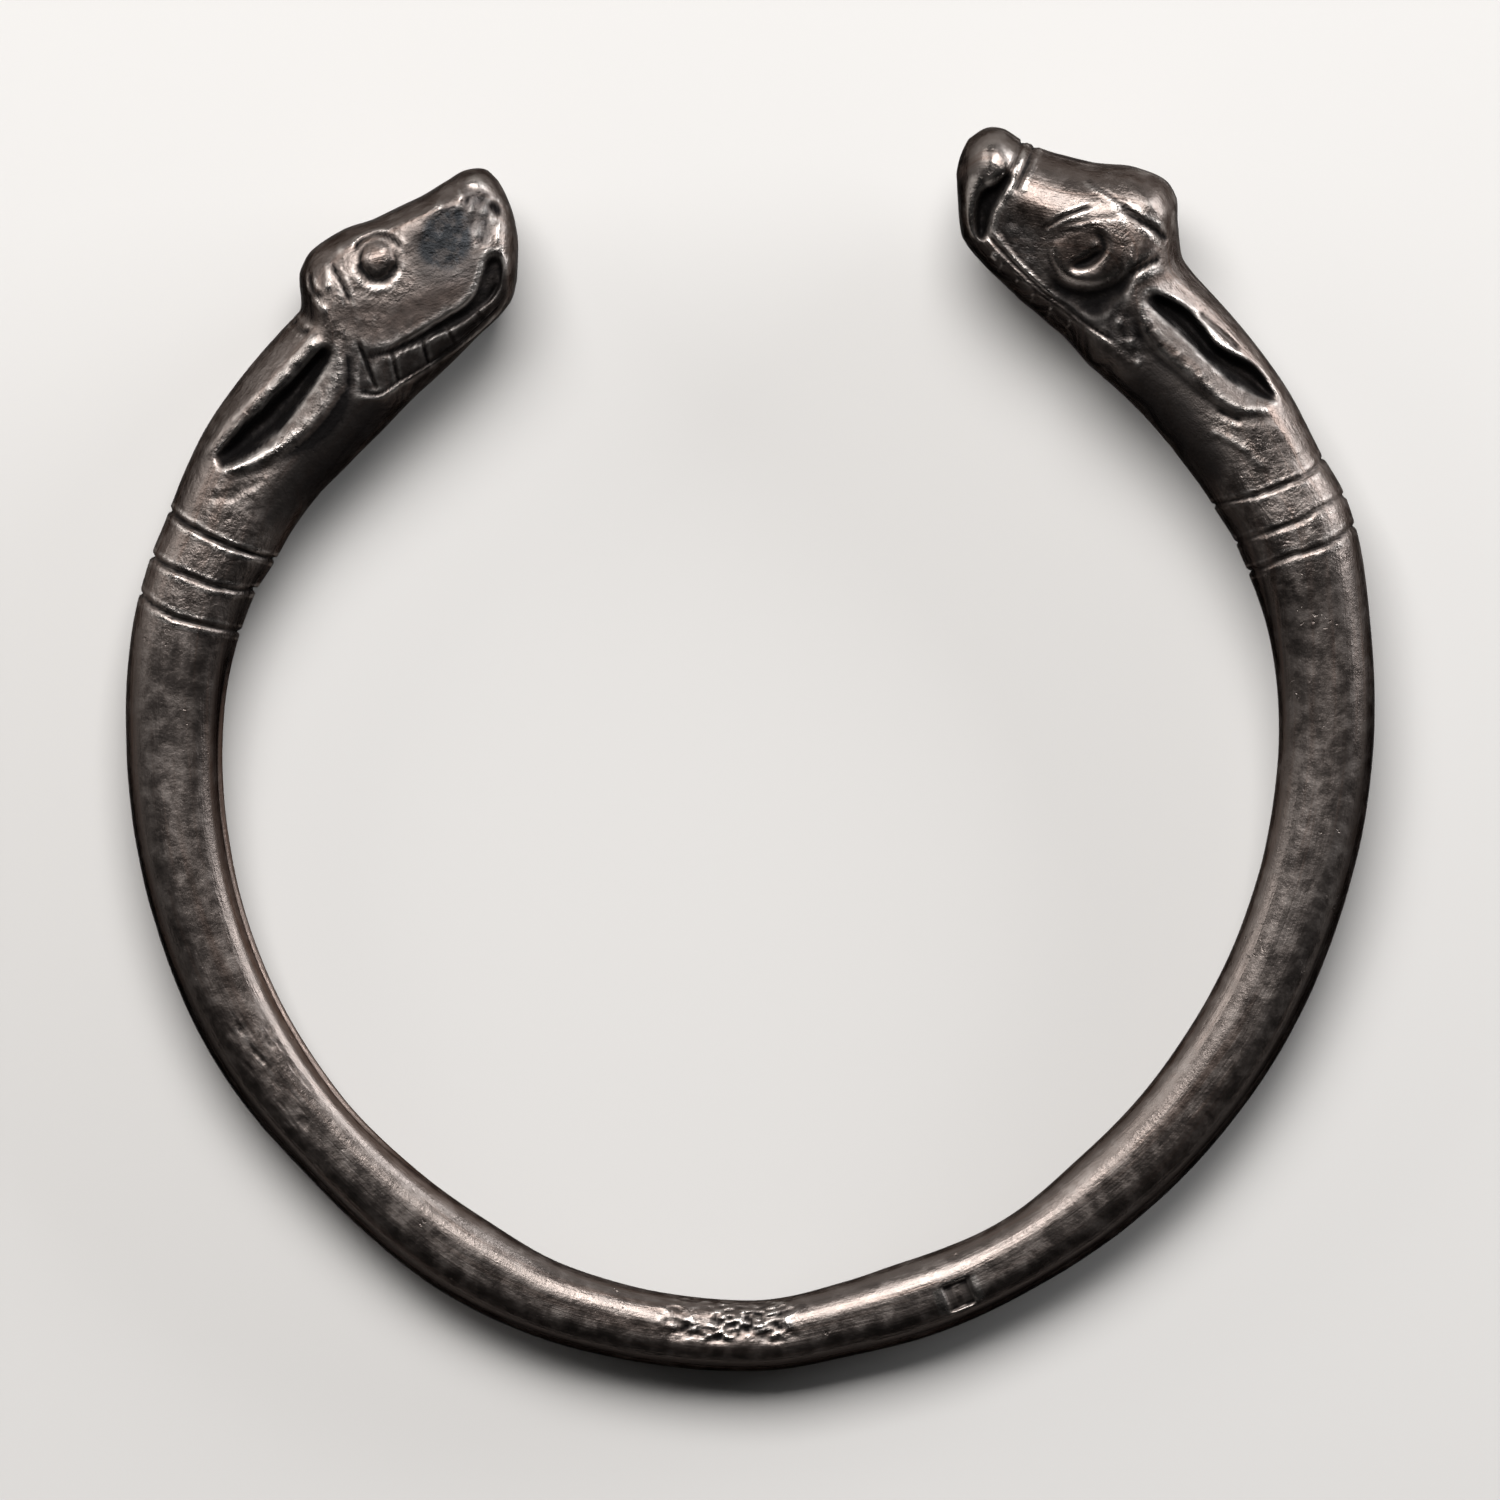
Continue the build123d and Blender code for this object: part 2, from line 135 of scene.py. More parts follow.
# Lengths in the tables from here to the dent are in millimetres.
# A chased line: rise is below zero where it is cut. Spots on a head are (along, across), where
# across is -1 at the jaw, 0 on the middle and 1 at the crown
Line = namedtuple("Line", "width rise spots")
left_lines = {
    "eye arc": Line(0.26, -0.20, [
        (0.705, 0.72), (0.722, 0.78), (0.742, 0.81), (0.758, 0.79), (0.772, 0.69), (0.777, 0.58),
        (0.777, 0.49)]),
    "eye crescent": Line(0.60, -0.15, [
        (0.698, 0.56), (0.692, 0.47), (0.693, 0.36), (0.701, 0.27), (0.719, 0.24), (0.741, 0.30),
        (0.752, 0.37)]),
    "eye disc": Line(0.70, 0.03, [
        (0.675, 0.57), (0.669, 0.43), (0.674, 0.30), (0.688, 0.20), (0.706, 0.14), (0.733, 0.15),
        (0.748, 0.22)]),
    "brow": Line(1.30, 0.30, [
        (0.667, 0.79), (0.693, 0.82), (0.720, 0.86), (0.750, 0.88), (0.780, 0.85), (0.812, 0.82),
        (0.841, 0.80), (0.872, 0.78), (0.900, 0.72)]),
    "behind eye": Line(0.24, -0.22, [(0.656, 0.73), (0.648, 0.53), (0.636, 0.28)]),
    "behind eye edge": Line(0.50, 0.12, [(0.650, 0.78), (0.636, 0.66), (0.618, 0.56)]),
    "nape crescent": Line(0.30, -0.26, [(0.612, 0.86), (0.600, 0.78), (0.596, 0.69), (0.599, 0.59)]),
    "nape wedge": Line(0.34, 0.20, [(0.589, 0.70), (0.586, 0.59), (0.589, 0.47)]),
    "front edge": Line(0.24, 0.14, [(0.968, -0.18), (0.960, -0.25), (0.951, -0.33)]),
    "snout edge": Line(0.30, 0.12, [(0.932, 0.90), (0.925, 0.62)]),
    "tooth top 2": Line(0.20, 0.12, [(0.752, -0.67), (0.704, -0.63)]),
    "tooth top 3": Line(0.20, 0.14, [(0.690, -0.61), (0.664, -0.57), (0.637, -0.51)]),
    "tooth top 4": Line(0.20, 0.12, [(0.622, -0.47), (0.604, -0.42)]),
    "gum": Line(0.26, -0.24, [
        (0.898, -0.95), (0.826, -0.94), (0.751, -0.89), (0.672, -0.83), (0.594, -0.74), (0.542, -0.62),
        (0.516, -0.40)]),
    "lip": Line(0.34, 0.10, [
        (0.935, -1.00), (0.869, -0.99), (0.811, -0.98), (0.737, -0.95), (0.666, -0.91), (0.600, -0.85)]),
    "lip lumps": Line(0.40, 0.16, [(0.956, -0.68), (0.948, -0.73), (0.938, -0.76)]),
    "tooth 1": Line(0.22, -0.12, [(0.836, -0.74), (0.838, -0.92)]),
    "tooth 2": Line(0.22, -0.18, [(0.760, -0.64), (0.750, -0.88)]),
    "tooth 3": Line(0.22, -0.22, [(0.698, -0.59), (0.674, -0.83)]),
    "tooth 4": Line(0.22, -0.20, [(0.628, -0.47), (0.595, -0.74)]),
    "tooth 5": Line(0.24, -0.22, [(0.590, -0.09), (0.546, -0.57)]),
    "nape": Line(0.36, -0.22, [(0.529, 0.98), (0.527, 0.80), (0.534, 0.68)]),
    "ear rim": Line(1.20, 0.30, [
        (0.548, 0.56), (0.487, 0.57), (0.429, 0.58), (0.379, 0.62), (0.329, 0.69), (0.286, 0.74),
        (0.240, 0.80), (0.212, 0.84)]),
    "fold 1": Line(0.34, -0.04, [(0.240, -0.20), (0.194, -0.02), (0.158, 0.15)]),
    "fold 2": Line(0.90, -0.05, [(0.269, -0.65), (0.199, -0.47), (0.149, -0.28)]),
    "fold 3": Line(0.70, -0.06, [(0.212, -0.02), (0.170, 0.20), (0.150, 0.42)]),
}
right_lines = {
    "muzzle groove 1": Line(0.30, -0.22, [(0.905, 1.00), (0.905, 0.72), (0.906, 0.46), (0.907, 0.30)]),
    "muzzle ring 1": Line(0.36, 0.12, [(0.899, 1.00), (0.895, 0.72), (0.893, 0.40), (0.892, 0.02)]),
    "muzzle groove 2": Line(0.26, -0.16, [(0.885, 1.00), (0.881, 0.74), (0.880, 0.48), (0.880, 0.22)]),
    "muzzle ring 2": Line(0.34, 0.08, [(0.874, 1.00), (0.870, 0.72), (0.868, 0.46), (0.867, 0.26)]),
    "brow": Line(0.22, -0.15, [(0.794, -0.07), (0.779, 0.12), (0.761, 0.28), (0.737, 0.41)]),
    "brow edge": Line(0.18, 0.03, [(0.788, -0.10), (0.771, 0.09), (0.752, 0.24), (0.729, 0.36)]),
    "eyelid": Line(0.14, 0.05, [(0.758, 0.04), (0.738, 0.13), (0.717, 0.22), (0.692, 0.31), (0.670, 0.39)]),
    "eyelid cut": Line(0.14, -0.06, [
        (0.764, 0.08), (0.744, 0.17), (0.723, 0.26), (0.698, 0.35), (0.677, 0.42)]),
    "crown line": Line(0.18, 0.10, [
        (0.776, 0.72), (0.748, 0.63), (0.719, 0.55), (0.693, 0.49), (0.669, 0.44), (0.646, 0.43)]),
    "crown crease": Line(0.16, -0.12, [
        (0.776, 0.76), (0.748, 0.67), (0.719, 0.59), (0.694, 0.53), (0.671, 0.48)]),
    "crown groove": Line(0.42, -0.30, [
        (0.692, 0.51), (0.659, 0.47), (0.627, 0.52), (0.597, 0.68), (0.585, 0.77)]),
    "crown edge": Line(0.40, 0.12, [(0.610, 0.88), (0.586, 0.86)]),
    "top line": Line(0.18, 0.08, [(0.756, 0.93), (0.721, 0.92), (0.689, 0.93), (0.676, 0.93)]),
    "temple 1": Line(0.18, -0.07, [
        (0.697, 0.51), (0.662, 0.42), (0.636, 0.35), (0.620, 0.25), (0.605, 0.17)]),
    "temple 2": Line(0.16, -0.06, [(0.667, 0.40), (0.647, 0.34), (0.633, 0.22)]),
    "pupil rim": Line(0.14, 0.05, [
        (0.703, -0.39), (0.688, -0.41), (0.670, -0.36), (0.656, -0.28), (0.650, -0.17), (0.654, -0.08)]),
    "eye ring": Line(0.24, -0.08, [
        (0.771, -0.21), (0.756, -0.36), (0.730, -0.48), (0.698, -0.52), (0.662, -0.46), (0.632, -0.32),
        (0.618, -0.12), (0.620, 0.04), (0.640, 0.20)]),
    "lip 1": Line(0.26, -0.20, [
        (0.905, -0.60), (0.836, -0.67), (0.788, -0.71), (0.721, -0.75), (0.673, -0.73), (0.612, -0.71),
        (0.527, -0.51)]),
    "lip edge": Line(0.20, 0.07, [
        (0.893, -0.50), (0.838, -0.60), (0.797, -0.66), (0.725, -0.72), (0.676, -0.70)]),
    "lip 2": Line(0.20, -0.10, [
        (0.881, -0.38), (0.840, -0.50), (0.806, -0.58), (0.729, -0.66), (0.680, -0.66)]),
    "tooth 1": Line(0.18, 0.12, [(0.836, -0.76), (0.838, -0.96)]),
    "tooth 2": Line(0.18, 0.12, [(0.790, -0.80), (0.786, -0.97)]),
    "tooth 3": Line(0.18, 0.12, [(0.743, -0.82), (0.736, -0.97)]),
    "tooth 4": Line(0.18, 0.12, [(0.693, -0.82), (0.683, -0.97)]),
    "tooth 5": Line(0.18, 0.10, [(0.640, -0.80), (0.630, -0.97)]),
    "tooth knob": Line(0.50, 0.20, [(0.868, -0.80), (0.852, -0.80)]),
    "jaw knob 1": Line(0.55, 0.24, [(0.512, -0.34), (0.494, -0.42)]),
    "jaw knob 2": Line(0.45, 0.16, [(0.560, -0.30), (0.548, -0.36)]),
    "jaw knob 3": Line(0.45, 0.16, [(0.470, -0.50), (0.456, -0.54)]),
    "nape groove": Line(0.40, -0.28, [(0.600, 0.06), (0.588, 0.32), (0.576, 0.58)]),
    "nape edge": Line(0.16, 0.04, [(0.591, -0.05), (0.579, 0.13), (0.571, 0.33), (0.552, 0.66)]),
    "ear rim": Line(1.00, 0.24, [
        (0.552, 0.64), (0.510, 0.78), (0.466, 0.85), (0.422, 0.88), (0.375, 0.90), (0.339, 0.92),
        (0.303, 0.92), (0.269, 0.91), (0.235, 0.89), (0.196, 0.85)]),
    "ear crack": Line(0.26, -0.16, [(0.450, 0.65), (0.410, 0.68), (0.377, 0.72), (0.340, 0.75)]),
    "ear lump": Line(0.60, 0.08, [(0.410, 0.57), (0.384, 0.55), (0.356, 0.62)]),
    "crease 1": Line(0.40, -0.10, [(0.276, -0.10), (0.248, 0.00), (0.225, 0.11)]),
    "crease 2": Line(0.60, 0.10, [(0.248, -0.38), (0.216, -0.24), (0.163, -0.06), (0.114, 0.04)]),
    "neck swelling": Line(1.10, 0.10, [(0.185, 0.57), (0.136, 0.63), (0.106, 0.69)]),
}

# The three grooves round each neck, nearest the head first
left_grooves = [
    Line(0.32, -0.34, [
        (0.097, 1.01), (0.087, 0.66), (0.081, 0.29), (0.077, -0.18), (0.079, -0.54), (0.084, -0.95)]),
    Line(0.32, -0.34, [
        (0.005, 1.02), (-0.004, 0.65), (-0.010, 0.22), (-0.014, -0.27), (-0.008, -0.72), (0.003, -0.98)]),
    Line(0.28, -0.28, [(-0.069, 1.02), (-0.085, 0.66), (-0.098, 0.21), (-0.099, -0.31), (-0.099, -0.91)]),
]
right_grooves = [
    Line(0.28, -0.20, [
        (0.096, -0.90), (0.083, -0.54), (0.075, -0.28), (0.068, 0.16), (0.064, 0.52), (0.068, 0.75),
        (0.079, 0.98)]),
    Line(0.28, -0.20, [
        (-0.004, -0.79), (-0.009, -0.45), (-0.013, 0.10), (-0.012, 0.22), (-0.006, 0.43), (-0.002, 0.95)]),
    Line(0.30, -0.24, [
        (-0.077, -0.70), (-0.073, -0.23), (-0.078, 0.14), (-0.078, 0.38), (-0.072, 0.64), (-0.063, 0.92)]),
]

# A patch of a head: edge is the width of its slope, rise its height at its crown side, lean how much
# higher its jaw side is and rough the height of its bumps. grime says how dirty it is, and on the neck
# shade patches and below the right eye how much shade is painted on it; rubbed says how bright it is
# rubbed, on the snout, the right front lip and the bulb partly as a painted highlight; oxide, brown and
# polish say how blue-grey, brown and smooth it is
Patch = namedtuple("Patch", "edge rise spots lean rough grime oxide brown rubbed polish", defaults=[0.0] * 7)
left_patches = {
    "cheek": Patch(0.6, -0.10, [
        (0.823, 0.55), (0.851, 0.69), (0.884, 0.69), (0.915, 0.59), (0.923, 0.40), (0.915, 0.13),
        (0.897, -0.07), (0.869, -0.11), (0.839, -0.12), (0.808, 0.03), (0.795, 0.21), (0.800, 0.39)],
        rough=0.05, oxide=1.0),
    "muzzle": Patch(1.2, 0.0, [
        (0.800, 0.60), (0.905, 0.62), (0.912, 0.00), (0.900, -0.30), (0.850, -0.46), (0.790, -0.16),
        (0.770, 0.06)], rough=0.04, grime=0.55, oxide=0.3),
    "lower cheek": Patch(1.0, 0.0, [
        (0.720, -0.06), (0.774, -0.12), (0.840, -0.22), (0.860, -0.42), (0.800, -0.50), (0.720, -0.44),
        (0.660, -0.36), (0.650, -0.10)], rough=0.01, grime=0.70, brown=0.9, polish=0.6),
    "pellet": Patch(0.4, 0.0, [
        (0.764, 0.50), (0.754, 0.64), (0.730, 0.70), (0.706, 0.64), (0.696, 0.50), (0.706, 0.36),
        (0.730, 0.30), (0.754, 0.36)], rough=0.03, grime=0.2, brown=0.9, polish=0.2),
    # Rubbed bright, partly as wear and partly as a painted highlight on the snout's top
    "snout": Patch(0.5, 0.42, [
        (0.944, 0.81), (0.957, 0.87), (0.972, 0.87), (0.978, 0.70), (0.977, 0.48), (0.967, 0.57),
        (0.953, 0.69)], lean=-0.36, rough=0.04, rubbed=1.0),
    "nostril": Patch(0.5, -0.14, [
        (0.939, 0.72), (0.960, 0.56), (0.975, 0.35), (0.966, 0.10), (0.960, -0.10), (0.934, -0.20),
        (0.914, -0.06), (0.908, 0.15), (0.918, 0.48)], rough=0.20, grime=0.4, oxide=0.4),
    "nostril hole": Patch(0.30, -0.55, [
        (0.966, 0.25), (0.976, 0.20), (0.984, 0.00), (0.980, -0.11), (0.970, 0.00)], grime=1.0),
    "mouth": Patch(0.30, -0.75, [
        (0.583, -0.08), (0.587, -0.20), (0.609, -0.36), (0.650, -0.46), (0.695, -0.51), (0.744, -0.53),
        (0.783, -0.56), (0.821, -0.59), (0.852, -0.55), (0.877, -0.45), (0.899, -0.36), (0.914, -0.30),
        (0.938, -0.46), (0.931, -0.66), (0.894, -0.76), (0.838, -0.76), (0.793, -0.74), (0.756, -0.69),
        (0.704, -0.62), (0.632, -0.51), (0.600, -0.38), (0.586, -0.22)], rough=0.04, grime=1.0),
    "teeth": Patch(0.26, -0.22, [
        (0.583, -0.14), (0.600, -0.38), (0.632, -0.51), (0.704, -0.62), (0.756, -0.69), (0.838, -0.74),
        (0.920, -0.66), (0.930, -0.80), (0.898, -0.94), (0.826, -0.93), (0.751, -0.88), (0.672, -0.82),
        (0.594, -0.73), (0.546, -0.60), (0.520, -0.40)], rough=0.03, grime=0.7),
    "jaw corner": Patch(0.5, -0.08, [
        (0.578, 0.06), (0.594, -0.26), (0.541, -0.56), (0.498, -0.29), (0.530, 0.00)],
        rough=0.14, grime=0.35, oxide=0.3),
    "cheek foot": Patch(1.0, -0.02, [
        (0.588, 0.46), (0.640, 0.22), (0.708, -0.07), (0.790, -0.30), (0.830, -0.50), (0.747, -0.46),
        (0.640, -0.38), (0.596, -0.10)], rough=0.06, grime=0.55, brown=0.5),
    "neck shade": Patch(1.6, 0.0, [
        (0.500, -0.30), (0.520, -0.80), (0.350, -0.90), (0.160, -0.70), (0.180, -0.40), (0.300, -0.36),
        (0.400, -0.36)], grime=0.85, polish=0.4),
}
right_patches = {
    "mouth hollow": Patch(0.36, -1.00, [
        (0.936, -0.06), (0.941, -0.24), (0.938, -0.41), (0.929, -0.58), (0.913, -0.73), (0.900, -0.72),
        (0.896, -0.57), (0.900, -0.41), (0.904, -0.24), (0.902, -0.03), (0.900, 0.21), (0.902, 0.42),
        (0.911, 0.32), (0.919, 0.14)], rough=0.05, grime=1.0),
    # Rubbed bright, partly as wear and partly as a painted highlight along the lit front lip; the rubbing
    # also lifts the painted flank shade here
    "front lip": Patch(0.36, 0.20, [
        (0.960, 0.05), (0.975, -0.25), (0.975, -0.53), (0.966, -0.70), (0.948, -0.80), (0.925, -0.86),
        (0.915, -0.77), (0.932, -0.66), (0.942, -0.55), (0.946, -0.40), (0.947, -0.22), (0.942, -0.02)],
        rubbed=1.0, polish=0.8),
    # Rubbed brighter, partly as wear and partly as a painted highlight on the bulb
    "bulb": Patch(0.5, 0.0, [
        (0.997, 0.38), (0.983, 0.92), (0.950, 0.98), (0.914, 0.96), (0.906, 0.86), (0.908, 0.45),
        (0.943, -0.05), (0.980, -0.40)], rubbed=0.4, polish=1.0),
    "under eye": Patch(0.6, -0.50, [
        (0.735, -0.56), (0.714, -0.54), (0.686, -0.53), (0.650, -0.44), (0.624, -0.26), (0.610, -0.05),
        (0.602, 0.10), (0.588, 0.10), (0.584, -0.14), (0.588, -0.40), (0.606, -0.60), (0.655, -0.68),
        (0.705, -0.68)], rough=0.05, grime=1.0),
    # Painted shade: no relief, only grime laid over the lit edge below the eye's hollow, down to the jaw
    "painted shade under eye": Patch(0.5, 0.0, [
        (0.720, -0.60), (0.700, -0.74), (0.650, -0.76), (0.598, -0.70), (0.568, -0.48), (0.566, -0.24),
        (0.576, -0.06), (0.600, -0.20), (0.616, -0.44), (0.660, -0.60)], grime=0.9),
    "crown lobe": Patch(1.3, 0.26, [
        (0.720, 0.80), (0.690, 0.66), (0.661, 0.56), (0.622, 0.61), (0.590, 0.76), (0.560, 1.30),
        (0.660, 1.50), (0.730, 1.20)], rough=0.02, polish=0.7),
    "eye": Patch(0.5, -0.10, [
        (0.768, -0.16), (0.756, -0.34), (0.728, -0.46), (0.692, -0.49), (0.654, -0.40), (0.630, -0.22),
        (0.626, 0.00), (0.644, 0.20), (0.690, 0.20), (0.740, 0.06)],
        lean=0.50, rough=0.01, brown=0.9, polish=0.7),
    "pupil": Patch(0.24, -0.50, [
        (0.708, 0.11), (0.694, 0.13), (0.677, 0.10), (0.667, 0.04), (0.664, -0.04), (0.665, -0.13),
        (0.672, -0.22), (0.685, -0.30), (0.702, -0.34), (0.707, -0.32), (0.700, -0.25), (0.690, -0.17),
        (0.685, -0.09), (0.678, -0.03), (0.680, 0.02), (0.692, 0.07)], grime=1.0),
    "temple": Patch(0.6, 0.0, [
        (0.670, 0.39), (0.642, 0.44), (0.593, 0.64), (0.570, 0.66), (0.592, 0.24), (0.615, 0.03)],
        brown=0.6, polish=0.7),
    "nape": Patch(0.5, -0.05, [
        (0.583, 0.03), (0.566, 0.35), (0.547, 0.69), (0.518, 0.79), (0.540, 0.54), (0.560, 0.22)],
        grime=0.25, brown=0.9),
    "jaw corner": Patch(0.5, -0.10, [
        (0.594, -0.26), (0.566, -0.10), (0.500, -0.18), (0.446, -0.44), (0.498, -0.58), (0.563, -0.56)],
        rough=0.16, grime=0.5, oxide=0.4),
    "muzzle foot": Patch(0.9, -0.06, [
        (0.880, -0.06), (0.800, -0.16), (0.774, -0.36), (0.750, -0.62), (0.880, -0.52)],
        rough=0.08, grime=0.45, oxide=0.4),
    "muzzle side": Patch(1.2, 0.0, [
        (0.870, 0.36), (0.800, 0.30), (0.770, 0.10), (0.790, -0.10), (0.870, -0.06)],
        rough=0.01, brown=0.8, polish=0.6),
    "muzzle top": Patch(1.4, 0.0, [
        (0.870, 0.90), (0.760, 0.90), (0.730, 0.50), (0.800, 0.40), (0.870, 0.50)], polish=0.6),
    "neck shade": Patch(1.6, 0.0, [
        (0.460, -0.36), (0.440, -0.80), (0.300, -0.90), (0.150, -0.80), (0.170, -0.40), (0.300, -0.30),
        (0.400, -0.34)], grime=0.85, polish=0.4),
}

# An ear: its hollow falls from the upper edge and comes up to a sill, from which a lit slope goes up
# to the crest of the lower rim, and outside that rim the ear ends in a step. fall is the share of the
# hollow that falls and swell is how rounded the slope is
Ear = namedtuple("Ear", "depth sill fall swell crest_rise foot upper floor crest outer")
left_ear = Ear(
    1.25, 0.36, 0.45, 0.8, 0.14, -0.08,
    [(0.552, 0.40), (0.505, 0.42), (0.459, 0.43), (0.427, 0.44), (0.398, 0.48), (0.358, 0.50),
     (0.319, 0.57), (0.284, 0.59), (0.244, 0.64), (0.208, 0.72)],
    [(0.550, 0.30), (0.523, 0.22), (0.486, 0.17), (0.442, 0.11), (0.394, 0.08), (0.339, 0.07),
     (0.275, 0.18), (0.210, 0.50)],
    [(0.552, 0.18), (0.520, 0.02), (0.485, -0.10), (0.439, -0.18), (0.390, -0.20), (0.349, -0.15),
     (0.290, -0.02), (0.236, 0.24), (0.204, 0.48)],
    [(0.550, 0.04), (0.516, -0.18), (0.472, -0.28), (0.422, -0.34), (0.371, -0.34), (0.322, -0.26),
     (0.255, -0.05), (0.206, 0.30), (0.192, 0.48)],
)
right_ear = Ear(
    1.35, 0.45, 0.50, 0.25, 0.16, 0.04,
    [(0.558, 0.25), (0.535, 0.41), (0.498, 0.54), (0.464, 0.61), (0.438, 0.60), (0.404, 0.58),
     (0.378, 0.55), (0.350, 0.63), (0.325, 0.74), (0.300, 0.81), (0.268, 0.82), (0.215, 0.78)],
    [(0.552, 0.22), (0.524, 0.22), (0.479, 0.24), (0.437, 0.26), (0.398, 0.27), (0.354, 0.29),
     (0.316, 0.33), (0.285, 0.41), (0.250, 0.55), (0.218, 0.74)],
    [(0.548, 0.12), (0.519, 0.01), (0.479, -0.04), (0.439, -0.08), (0.403, -0.06), (0.362, -0.02),
     (0.324, 0.02), (0.282, 0.09), (0.243, 0.26), (0.223, 0.49), (0.212, 0.72)],
    [(0.546, 0.04), (0.506, -0.13), (0.475, -0.19), (0.432, -0.22), (0.392, -0.18), (0.353, -0.15),
     (0.322, -0.12), (0.283, -0.04), (0.243, 0.14), (0.214, 0.42), (0.200, 0.70)],
)

# A boss of a head or the dent of the hoop: size is a boss's radius or the dent's side. The dent's
# spot is (turn, across)
Boss = namedtuple("Boss", "spot size rise")
pellet = Boss((0.730, 0.50), 1.0, 0.30)
bulb = Boss((0.950, 0.62), 2.2, 0.60)
dent = Boss((0.583, 0.22), 1.6, -0.3)

# Stretches of the hoop, in shares of the way from the left neck to the right neck: where it is nicked,
# where its back is worked rough, and where the rings of the mesh are closer, with the gap between them
nicked = (0.205, 0.262)
worked = (0.451, 0.506)
close_stretches = [(0.20, 0.27, 0.32 * MM), (0.445, 0.52, 0.2 * MM), (0.57, 0.60, 0.2 * MM)]

# A light of the studio: power is the name of its setting
Softbox = namedtuple("Softbox", "power place width height colour")
softboxes = {
    "key_softbox": Softbox("key_power", (-0.05, 0.34, 0.48), 0.50, 0.30, (1.0, 0.99, 0.98)),
    "rim_box": Softbox("rim_power", (0.42, 0.24, 0.10), 0.36, 0.16, (0.96, 0.98, 1.0)),
    "side_box": Softbox("side_power", (-0.40, 0.22, 0.12), 0.30, 0.20, (1.0, 0.98, 0.96)),
}

# The bare rod at one angle. A head's reach is its height, and its way is how its angles run to the nose
Section = namedtuple("Section", "angle radius width thickness flat roll")
Head = namedtuple("Head", "neck way length reach lines grooves patches ear")


class BangleSizes(bpy.types.PropertyGroup):
    """Lengths of the bangle that its tables are shares of"""

    hoop_radius: bpy.props.FloatProperty(
        name="Hoop radius", description="From the hoop's axis to the middle of the rod", default=34.6 * MM,
        unit="LENGTH")
    rod_width: bpy.props.FloatProperty(
        name="Rod width", description="Width of the rod across the hoop", default=5.8 * MM, unit="LENGTH")
    rod_thickness: bpy.props.FloatProperty(
        name="Rod thickness", description="Thickness of the rod along the hoop's axis", default=5.4 * MM,
        unit="LENGTH")
    rod_flat: bpy.props.FloatProperty(
        name="Rod flat", description="Level share of the rod's faces", default=0.18, subtype="FACTOR")
    left_neck_angle: bpy.props.FloatProperty(
        name="Left neck angle", description="Where the left collar's middle groove is",
        default=math.radians(162.0), subtype="ANGLE")
    left_neck_width: bpy.props.FloatProperty(
        name="Left neck width", description="Width of the left collar", default=6.7 * MM, unit="LENGTH")
    left_neck_thickness: bpy.props.FloatProperty(
        name="Left neck thickness", description="Thickness of the left collar", default=6.4 * MM,
        unit="LENGTH")
    right_neck_angle: bpy.props.FloatProperty(
        name="Right neck angle", description="Where the right collar's middle groove is",
        default=math.radians(23.5), subtype="ANGLE")
    right_neck_width: bpy.props.FloatProperty(
        name="Right neck width", description="Width of the right collar", default=7.2 * MM, unit="LENGTH")
    right_neck_thickness: bpy.props.FloatProperty(
        name="Right neck thickness", description="Thickness of the right collar", default=6.6 * MM,
        unit="LENGTH")
    right_neck_set_out: bpy.props.FloatProperty(
        name="Right neck set-out", description="How far the right collar stands outside the hoop's circle",
        default=0.8 * MM, unit="LENGTH")
    left_head_length: bpy.props.FloatProperty(
        name="Left head length", description="From the left collar to the nose, along the hoop",
        default=29.1 * MM, unit="LENGTH")
    left_head_height: bpy.props.FloatProperty(
        name="Left head height", description="From the jaw to the crown", default=10.7 * MM, unit="LENGTH")
    right_head_length: bpy.props.FloatProperty(
        name="Right head length", description="From the right collar to the nose, along the hoop",
        default=28.3 * MM, unit="LENGTH")
    right_head_height: bpy.props.FloatProperty(
        name="Right head height", description="From the jaw to the crown", default=11.3 * MM, unit="LENGTH")
    head_thickness: bpy.props.FloatProperty(
        name="Head thickness", description="From cheek to cheek", default=8.4 * MM, unit="LENGTH")
    right_head_roll: bpy.props.FloatProperty(
        name="Right head roll", description="How far the right head's crown turns up",
        default=math.radians(20.0), subtype="ANGLE")
    roll_end: bpy.props.FloatProperty(
        name="Roll end", description="Share of the head where it has turned up fully", default=0.6,
        subtype="FACTOR")


class SilverFinish(bpy.types.PropertyGroup):
    """Colours and polish of the silver"""

    # The rubbed silver also colours the painted highlights on the snout, the right front lip and the bulb
    silver: bpy.props.FloatVectorProperty(
        name="Rubbed silver", description="Colour of the ridges that wear keeps bright",
        default=(0.60, 0.56, 0.53), subtype="COLOR", size=3, min=0, max=1)
    tarnish: bpy.props.FloatVectorProperty(
        name="Tarnish", description="Colour of the faces", default=(0.126, 0.105, 0.095),
        subtype="COLOR", size=3, min=0, max=1)
    brown: bpy.props.FloatVectorProperty(
        name="Brown tarnish", description="Colour of the warm streaks", default=(0.130, 0.092, 0.076),
        subtype="COLOR", size=3, min=0, max=1)
    # The grime colour is also used for the painted shade of the flanks, the ears, the necks and below the
    # right eye
    grime: bpy.props.FloatVectorProperty(
        name="Grime", description="Colour of what fills the cuts", default=(0.010, 0.009, 0.009),
        subtype="COLOR", size=3, min=0, max=1)
    oxide: bpy.props.FloatVectorProperty(
        name="Oxide", description="Colour of the blue-grey patches", default=(0.046, 0.050, 0.055),
        subtype="COLOR", size=3, min=0, max=1)
    roughness: bpy.props.FloatProperty(
        name="Roughness", description="Roughness of the tarnished faces", default=0.35, subtype="FACTOR")


